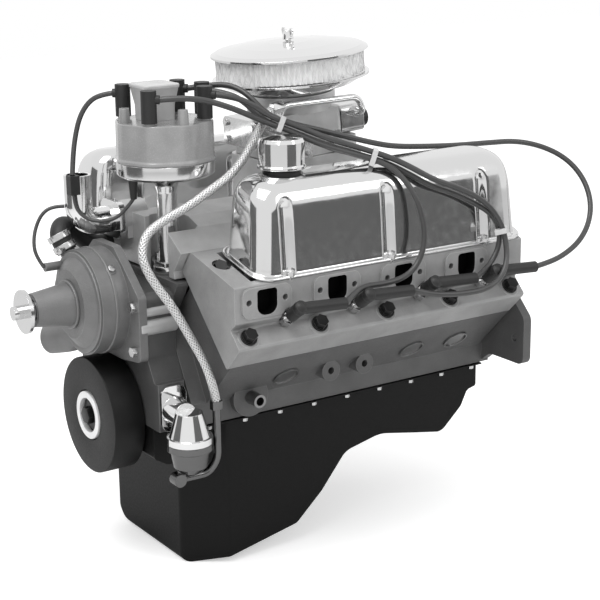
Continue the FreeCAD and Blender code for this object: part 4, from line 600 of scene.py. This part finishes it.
# Soft white without gloss.
cotton_gauze = skin("white_cotton_gauze", "#FAFAFA", "#FFFFFF", 0.0, 0.85, 0.9, 0.2, edge_mm=0.3)
vertices, faces = [], []
for i in range(2 * PLEATS):
    a = math.pi * i / PLEATS
    fold = ELEMENT_RADIUS - GAUZE_INSET - (PLEAT_DEPTH if i % 2 else 0)
    for radius in (fold, fold - GAUZE_THICKNESS):
        for z in (ELEMENT_FOOT + 0.0005, ELEMENT_FOOT + ELEMENT_HEIGHT - 0.0005):
            vertices.append(carried @ Vector((radius * math.cos(a), radius * math.sin(a), z)))
for i in range(2 * PLEATS):
    a, b = 4 * i, 4 * ((i + 1) % (2 * PLEATS))
    faces += [(a, b, b + 1, a + 1), (b + 2, a + 2, a + 3, b + 3),
              (a + 2, b + 2, b, a), (a + 1, b + 1, b + 3, a + 3)]
pleats = mesh_piece("filter_pleats", vertices, faces, cotton_gauze, smooth=False)
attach(pleats, "engine")
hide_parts("air_filter_element")

# Pale wires a shade darker than the gauze.
screen_wire = skin("coated_screen_wire", "#E2E2E2", "#F6F6F6", 0.1, 0.4, 1.0, 0.05, edge_mm=0.2)
vertices, faces = [], []
half = SCREEN_WIRE_WIDTH / 2 / ELEMENT_RADIUS
for lean in (-1, 1):
    for i in range(SCREEN_WIRES):
        for k in range(SCREEN_STEPS + 1):
            a = 2 * math.pi * i / SCREEN_WIRES + lean * SCREEN_TURN * k / SCREEN_STEPS
            z = ELEMENT_FOOT + 0.001 + (ELEMENT_HEIGHT - 0.002) * k / SCREEN_STEPS
            lift = 0.0003 if lean > 0 else 0.0
            for side, radius in ((-half, 0), (half, 0),
                                 (half, SCREEN_WIRE_DEPTH), (-half, SCREEN_WIRE_DEPTH)):
                r = ELEMENT_RADIUS - GAUZE_INSET + lift - radius
                vertices.append(carried @ Vector((r * math.cos(a + side), r * math.sin(a + side), z)))
            if k:
                n = len(vertices) - 8
                faces += [(n + j, n + (j + 1) % 4, n + 4 + (j + 1) % 4, n + 4 + j) for j in range(4)]
            if k in (0, SCREEN_STEPS):
                n = len(vertices) - 4
                faces.append((n, n + 1, n + 2, n + 3))
screen = mesh_piece("filter_screen", vertices, faces, screen_wire, smooth=False)
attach(screen, "engine")


# Distributor. Turned and polished aluminium shank and bowl on a steel spindle. Cap and coil cover are
# moulded in grey glass-filled nylon, slightly glossy, with rounded edges. The cap's leads start from boots
# on its towers. A rubber grommet takes the pick-up lead into the bowl. Outlines are in millimetres.
DISTRIBUTOR = (38, -512, 0)
BOWL_OUTLINE = [(6.8, 155), (13.7, 155), (13.7, 200), (22, 200), (22, 208), (14.2, 208), (14.2, 310),
                (17, 320), (24, 328), (61, 333), (67, 337), (67, 354.6), (61, 354.6), (61, 338), (30, 337),
                (24, 331.5), (6.8, 331.5)]
CAP_OUTLINE = [(0, 403), (57, 403), (61, 398), (61, 354.8), (68.4, 354.8), (68.4, 359), (66.6, 361),
               (66, 409), (0, 409)]
CAP_LOBES = 8
CAP_LOBE_HEIGHT = 1.7
TOWER_OUTLINE = [(0, 404), (8, 404), (6.5, 429), (0, 429)]
TOWER_CIRCLE = 58
TOWER_TURN = -3
GROMMET_OUTLINE = [(0, 300), (4.4, 300), (7.5, 335), (0, 335)]
COIL_MIDDLE = Vector((31.4, -522, 0))
COIL_CORNER = 6
COIL_CORNER_POINTS = 8
COIL_LEVELS = ((21, 409), (21, 409.6), (21.4, 429), (25.4, 452), (26.4, 453.2), (26.6, 456.4), (25.8, 457.8),
               (24.6, 458), (23.8, 457.4))

# Bright metal with a slight haze.
turned_alloy = plated("turned_aluminium", "#D2D2D2", 0.12, 30, 0.1, edge_mm=0.8)
dress(ground_steel, "distributor_shaft")
# Middle grey with a glossy skin over soft edges.
cap_nylon = skin("grey_moulded_nylon", "#8C8C8C", "#A2A2A2", 0.0, 0.24, 1.4, 0.06, coat=0.5, edge_mm=2.0)
bowl = lathe("distributor_bowl", BOWL_OUTLINE, turned_alloy, DISTRIBUTOR, soft_mm=1.6)
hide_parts("distributor_body")
cap = lathe("distributor_cap_moulding", CAP_OUTLINE, cap_nylon, DISTRIBUTOR, soft_mm=2.2, segments=192,
            lobes=CAP_LOBES, lobe_mm=CAP_LOBE_HEIGHT)
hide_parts("distributor_cap")
for i in range(8):
    a = math.radians(45 * i + TOWER_TURN)
    place = (DISTRIBUTOR[0] + TOWER_CIRCLE * math.cos(a), DISTRIBUTOR[1] + TOWER_CIRCLE * math.sin(a), 0)
    lathe("cap_tower_%d" % i, TOWER_OUTLINE, cap_nylon, place, soft_mm=0.8, segments=32)
lathe("pickup_grommet", GROMMET_OUTLINE, black_rubber, (15, -551, 0), soft_mm=0.8, segments=32)
# Lighter and less glossy than the cap.
cover_nylon = skin("light_moulded_nylon", "#B4B4B4", "#C6C6C6", 0.0, 0.34, 1.4, 0.06, coat=0.2, edge_mm=2.0)
vertices, faces = [], []
for half, z in COIL_LEVELS:
    for corner in range(4):
        middle = Vector((half - COIL_CORNER, half - COIL_CORNER, z))
        middle.rotate(Matrix.Rotation(math.radians(90 * corner), 3, "Z"))
        for k in range(COIL_CORNER_POINTS):
            a = math.radians(90 * corner + 90 * k / (COIL_CORNER_POINTS - 1))
            reach = Vector((COIL_CORNER * math.cos(a), COIL_CORNER * math.sin(a), 0))
            vertices.append((COIL_MIDDLE + middle + reach) / 1000)
ring = 4 * COIL_CORNER_POINTS
for i in range(len(COIL_LEVELS) - 1):
    n = ring * i
    faces += [(n + j, n + (j + 1) % ring, n + ring + (j + 1) % ring, n + ring + j) for j in range(ring)]
faces += [tuple(range(ring))[::-1], tuple(range(len(vertices) - ring, len(vertices)))]
cover = clean_piece("coil_cover_moulding", vertices, faces, cover_nylon, "engine")
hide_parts("coil_cover")


# Front of the engine. The chain cover is die-cast aluminium with two bosses on its side and the water pump
# cast iron with ridges round its volute, both left with their skins. The pump's hub and shaft are turned
# bright and the water neck is chromed. Two plated clamps hold the bypass hose. Lengths are in millimetres.
ALONG = (0, 1, 0)
HOSE_AXIS = (-0.35, -0.3, 0.85)
CLAMP_OUTLINE = [(14.4, 0), (16.6, 0), (16.6, 9), (14.4, 9)]
CLAMP_PLACES = (("hose_clamp_lower", (-52.4, -624.4, 227)), ("hose_clamp_upper", (-58, -629.2, 241)))
PUMP_AXIS_Z = 164
PUMP_RIDGES = (("pump_ridge_front", -636, 60, 70), ("pump_ridge_middle", -614, 70, 74.8),
               ("pump_nose_ridge", -652, 28, 34))
RIDGE_WIDTH = 4
PUMP_SCREW = (50.9, -607.9, 216.3)
PUMP_SCREW_AXIS = (0.69, 0, 0.72)
UPPER_BOSS = [(0, -588), (6.5, -588), (6.5, -534), (0, -534)]
LOWER_BOSS = [(0, -590), (11.5, -590), (11.5, -534), (0, -534)]

# Dark metal grey with worn edges. The whole cover is painted darker than its metal, as painted shade beside
# the damper.
shade_darkened_cover_casting = skin("chain_cover_aluminium_darkened_for_shade", "#585858", "#9C9C9C", 0.5, 0.42, 2.0, 0.35)
dress(shade_darkened_cover_casting, "timing_cover")
# A pebbled middle grey, lighter than the chain cover.
pump_casting = skin("water_pump_grey_iron", "#747474", "#A8A8A8", 0.3, 0.42, 2.2, 0.6)
dress(pump_casting, "water_pump_body")
dress(turned_alloy, "water_pump_shaft")
dress(polished_chrome, "thermostat_housing")
# Matt black.
hose_rubber = skin("reinforced_hose_rubber", "#262626", "#333333", 0.0, 0.55, 2.0, 0.15)
dress(hose_rubber, "bypass_hose")
for name, place in CLAMP_PLACES:
    lathe(name, CLAMP_OUTLINE, zinc_plate, place, HOSE_AXIS, soft_mm=0.8)
lathe("hose_clamp_screw", [(0, 0), (4, 0), (4, 14), (0, 14)], zinc_plate, (-36, -636, 231), (0.64, -0.77, 0),
      soft_mm=1.0, segments=24)
for name, front, inner, outer in PUMP_RIDGES:
    lathe(name, [(inner, 0), (outer, 0), (outer, RIDGE_WIDTH), (inner, RIDGE_WIDTH)], pump_casting,
          (0, front, PUMP_AXIS_Z), ALONG, soft_mm=1.4)
# Pale cast metal beside the dark cover.
light_casting = skin("bright_cast_aluminium", "#B8B8B8", "#E0E0E0", 0.4, 0.4, 2.0, 0.3)
lathe("chain_cover_boss_upper", UPPER_BOSS, light_casting, (90, 0, 161), ALONG, soft_mm=1.2, segments=48)
lathe("chain_cover_boss_lower", LOWER_BOSS, light_casting, (88, 0, 140), ALONG, soft_mm=1.5, segments=48)
lathe("pump_top_screw", [(0, -3), (7, -3), (7, 1), (0, 1)], pump_casting, PUMP_SCREW, PUMP_SCREW_AXIS,
      soft_mm=0.8, segments=32)
lathe("pump_top_screw_head", [(0, 0), (5.6, 0), (5.6, 5.5), (0, 5.5)], zinc_plate, PUMP_SCREW,
      PUMP_SCREW_AXIS, soft_mm=0.8, segments=6)


# Damper. Cast iron inertia ring on its hub, sprayed satin black, with a bright turned face left round the
# hub's bore and a black washer and screw in it. It is drawn as one disc: the rubber band between ring and
# hub doesn't show under the enamel. Outlines are in millimetres from the crankshaft's axis.
DISC_OUTLINE = [(17.6, -556), (24, -556), (24, -582), (82.5, -582), (82.5, -628), (36, -628), (36, -624),
                (26, -624), (26, -617), (17.6, -617)]
RING_OUTLINE = [(24.5, -622), (24.5, -630), (34, -630), (34, -622)]
WASHER_OUTLINE = [(0, -624), (22, -624), (22, -618.5), (0, -618.5)]
SCREW_OUTLINE = [(0, -633.5), (12.6, -633.5), (12.6, -624), (0, -624)]

# Flat black with hardly a highlight.
damper_black = skin("satin_black_enamel", "#080808", "#181818", 0.0, 0.45, 1.6, 0.1, specular=0.3)
damper = lathe("damper_disc", DISC_OUTLINE, damper_black, axis=ALONG, soft_mm=1.5, body="crank", segments=160)
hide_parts("harmonic_damper")
# Almost white against the black.
turned_face = skin("bright_turned_face", "#F4F4F4", "#FFFFFF", 0.2, 0.34, 1.0, 0.03, edge_mm=0.6)
lathe("damper_ring", RING_OUTLINE, turned_face, axis=ALONG, soft_mm=1.0, body="crank")
lathe("damper_washer", WASHER_OUTLINE, black_oxide, axis=ALONG, soft_mm=0.8, body="crank")
lathe("damper_screw_head", SCREW_OUTLINE, black_oxide, axis=ALONG, soft_mm=0.9, body="crank", segments=6)


# Fuel pump. Die-cast body under a dome, with a plated bowl and outlet pipe. Body and dome wear one chrome
# finish.
dress(polished_chrome, "fuel_pump")
# A middle grey mirror.
dark_plate = plated("dark_chromate_on_steel", "#6A6A6A", 0.2, 10, 0.1)
dress(dark_plate, "fuel_pump_bowl")


# Oil pan. Deep-drawn sheet steel in black enamel. Plated bolts hold its rail, and pressed steel plugs close
# the block's core holes.
# Very dark, with faint streaks of light along the edges.
pan_enamel = skin("gloss_black_enamel", "#040404", "#0C0C0C", 0.0, 0.5, 3.0, 0.06, edge_mm=2.5, specular=0.22)
dress(pan_enamel, "oil_pan")
# Dull grey metal.
plug_steel = plated("pressed_steel_plug", "#8C8C8C", 0.3, 8, 0.2)
dress(plug_steel, "block_plugs")


# Ignition leads. Carbon-core wire in 8 mm silicone jacket, satin dark grey, pushed into moulded rubber
# boots at both ends and gathered by clear nylon combs over the rocker cover.
# Dark grey with a long soft highlight.
silicone_jacket = skin("silicone_jacket", "#3A3A3A", "#4C4C4C", 0.0, 0.36, 2.0, 0.05, coat=0.15)
# Off-white and slightly waxy.
clear_nylon = skin("natural_nylon", "#C8C8C8", "#E0E0E0", 0.0, 0.4, 1.5, 0.05)
dress(black_rubber, "plug_boots")
dress(clear_nylon, "wire_separators")


def route_curve(name, route_mm, steps):
    """The soft curve that the route's points pull along, in metres."""
    curve = bpy.data.curves.new(name, "CURVE")
    curve.dimensions = "3D"
    curve.resolution_u = steps
    spline = curve.splines.new("NURBS")
    spline.points.add(len(route_mm) - 1)
    for point, place in zip(spline.points, route_mm):
        point.co = (*(c / 1000 for c in place), 1.0)
    spline.order_u = 3
    spline.use_endpoint_u = True
    return curve


def lead(name, route_mm, diameter, material):
    """A free lead along its route, whose points are those of the part's own solid."""
    curve = route_curve(name, route_mm, 10)
    curve.bevel_depth = diameter / 2
    curve.bevel_resolution = 5
    curve.use_fill_caps = True
    curve.materials.append(material)
    piece = bpy.data.objects.new(name + "_lead", curve)
    bpy.context.collection.objects.link(piece)
    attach(piece, "engine")
    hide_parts(name)


lead("plug_wire_1", [
    (85, -543, 443), (100, -521, 445), (112, -490, 441), (115, -450, 427), (109, -395, 402),
    (119, -359, 387), (147, -327, 368), (178, -289, 355), (200, -258, 343), (216, -240, 322),
    (227, -229, 297), (233, -223, 272), (237, -221, 247), (239, -226, 223), (240, -239, 203),
    (239, -259, 191), (237, -291, 187), (239, -324, 190), (246, -347, 184), (253, -366, 176)],
    0.008, silicone_jacket)
lead("plug_wire_2", [
    (90, -461, 443), (103, -441, 440), (112, -418, 429), (110, -392, 411), (120, -356, 396),
    (150, -322, 378), (175, -284, 364), (197, -253, 352), (214, -229, 338), (228, -200, 319),
    (233, -164, 305), (235, -130, 289), (238, -105, 270), (243, -90, 247), (248, -85, 223), (256, -88, 201),
    (264, -99, 182), (267, -117, 168), (266, -140, 161), (263, -166, 160), (260, -197, 162),
    (257, -227, 167), (253, -255, 176)],
    0.008, silicone_jacket)
lead("plug_wire_3", [
    (52, -444, 443), (69, -430, 440), (84, -414, 430), (100, -392, 402), (110, -356, 387), (137, -319, 368),
    (170, -284, 355), (192, -253, 343), (208, -229, 328), (221, -200, 309), (225, -165, 296),
    (227, -130, 279), (230, -101, 262), (233.9, -88.7, 244.7), (236.9, -85.4, 224.1), (238, -90.9, 204.5),
    (239.1, -104.1, 189.1), (245, -124, 179), (253, -144, 176)],
    0.008, silicone_jacket)
lead("plug_wire_4", [
    (9, -458, 443), (30, -436, 448), (54, -416, 449), (79, -403, 437), (101, -389, 411), (111, -353, 396),
    (120, -318, 386), (126, -275, 373), (129, -235, 361), (129, -195, 351), (128, -140, 345),
    (127, -78, 340), (128, -20, 338), (131, 34, 336), (147, 75, 325), (172, 100, 307), (199, 109, 281),
    (221, 105, 250), (237, 87, 221), (247, 58, 198), (252, 22, 184), (253, -8, 178), (253, -32, 176)],
    0.008, silicone_jacket)
lead("coil_lead", [
    (-13, -562, 443), (-24.1, -576.7, 440.4), (-36, -588, 430), (-43, -598, 411), (-43, -606, 386),
    (-37, -614, 359), (-29, -620, 334)],
    0.007, silicone_jacket)
lead("pickup_lead", [
    (-28, -620, 308), (-28, -619, 293), (-24.2, -613.2, 280.5), (-15.6, -602.6, 271.5), (0, -585, 271),
    (11, -567, 280), (15, -551, 301)],
    0.005, silicone_jacket)
lead("sender_lead", [
    (-62, -619, 286), (-68.6, -633.1, 286.4), (-72.8, -647.8, 278.5), (-72, -659, 261), (-65, -667, 242),
    (-55, -669, 223), (-46, -661.5, 208)],
    0.005, silicone_jacket)


# Fuel hose. Rubber tube inside a braid of bright stainless wire, 13 mm across: flat bundles of wire cross
# over and under each other. It climbs from the pump to the carburettor's inlet. Real bundles are about
# 1.5 mm wide and too fine to show, so fewer and wider ones are drawn.
HOSE_DIAMETER = 0.013
BUNDLES = 8
BRAID_PITCH = 0.046
BUNDLE_WIDTH = 0.0022
BUNDLE_HEIGHT = 0.0007
FRAME_STEP = 0.0022
CORE_SIDES = 20
HOSE_ROUTE = [
    (172, -521, 48), (171, -528, 88), (159, -550, 138), (146, -568, 180), (133, -584, 208),
    (126, -594, 230), (119, -596, 247), (113, -590, 264), (110, -578, 277), (111, -553, 290),
    (114, -519, 304), (116, -487, 322), (114, -458, 335), (104, -427, 356), (95, -404, 380),
    (85, -382, 400), (71, -362, 411)]


def spline_points(route_mm):
    """Points read from the route's own spline, close together, in metres."""
    curve = route_curve("guide", route_mm, 24)
    guide = bpy.data.objects.new("guide", curve)
    mesh = bpy.data.meshes.new_from_object(guide)
    points = [v.co.copy() for v in mesh.vertices]
    bpy.data.objects.remove(guide)
    bpy.data.curves.remove(curve)
    bpy.data.meshes.remove(mesh)
    return points


def even_frames(points, step):
    """Places along the line a step apart, each with its own pair of cross directions."""
    lengths = [0.0]
    for a, b in zip(points, points[1:]):
        lengths.append(lengths[-1] + (b - a).length)
    count = round(lengths[-1] / step)
    frames, k = [], 0
    for i in range(count + 1):
        s = lengths[-1] * i / count
        while k < len(points) - 2 and lengths[k + 1] < s:
            k += 1
        t = (s - lengths[k]) / max(lengths[k + 1] - lengths[k], 1e-9)
        frames.append([points[k].lerp(points[k + 1], t), (points[k + 1] - points[k]).normalized(), s])
    side = frames[0][1].orthogonal().normalized()
    for place in frames:
        along = place[1]
        side = (side - along * side.dot(along)).normalized()
        place += [side, along.cross(side)]
    return frames


hose_line = spline_points(HOSE_ROUTE)
hose_frames = even_frames(hose_line, FRAME_STEP)
# Light woven metal with a dull sheen.
braid_wire = plated("stainless_wire_braid", "#D2D2D2", 0.36, 3, 0.2, edge_mm=0.2)
# Black gaps between the bundles.
braid_gap = skin("dark_gap_under_braid", "#080808", "#2A2A2A", 0.0, 0.7, 1.0, 0.1, edge_mm=0.2)

core_radius = HOSE_DIAMETER / 2 - 2 * BUNDLE_HEIGHT
vertices, faces = [], []
for i, (centre, along, s, u, v) in enumerate(hose_frames):
    for j in range(CORE_SIDES):
        a = 2 * math.pi * j / CORE_SIDES
        vertices.append(centre + (u * math.cos(a) + v * math.sin(a)) * core_radius)
    if i:
        n, m = len(vertices) - 2 * CORE_SIDES, len(vertices) - CORE_SIDES
        faces += [(n + j, n + (j + 1) % CORE_SIDES, m + (j + 1) % CORE_SIDES, m + j)
                  for j in range(CORE_SIDES)]
core = mesh_piece("fuel_hose_core", vertices, faces, braid_gap)
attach(core, "engine")

vertices, faces = [], []
for lean in (-1, 1):
    for bundle in range(BUNDLES):
        for i, (centre, along, s, u, v) in enumerate(hose_frames):
            turn = lean * s / BRAID_PITCH
            a = 2 * math.pi * (bundle / BUNDLES + turn)
            weave = math.cos(math.pi * (2 * BUNDLES * s / BRAID_PITCH + bundle)) * lean
            r = HOSE_DIAMETER / 2 - BUNDLE_HEIGHT * (1.0 - 0.5 * weave)
            out = u * math.cos(a) + v * math.sin(a)
            around = (v * math.cos(a) - u * math.sin(a)) * lean
            slope = (along + around * (2 * math.pi * r / BRAID_PITCH)).normalized()
            across = slope.cross(out).normalized() * BUNDLE_WIDTH / 2
            middle = centre + out * r
            for offset, height in ((-1, -0.4), (-0.55, 0.35), (0, 0.5), (0.55, 0.35), (1, -0.4)):
                vertices.append(middle + across * offset + out * BUNDLE_HEIGHT * height * 0.9)
            if i:
                n = len(vertices) - 10
                faces += [(n + j, n + j + 1, n + 6 + j, n + 5 + j) for j in range(4)]
braid = mesh_piece("fuel_hose_braid", vertices, faces, braid_wire)
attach(braid, "engine")
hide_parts("fuel_hose")
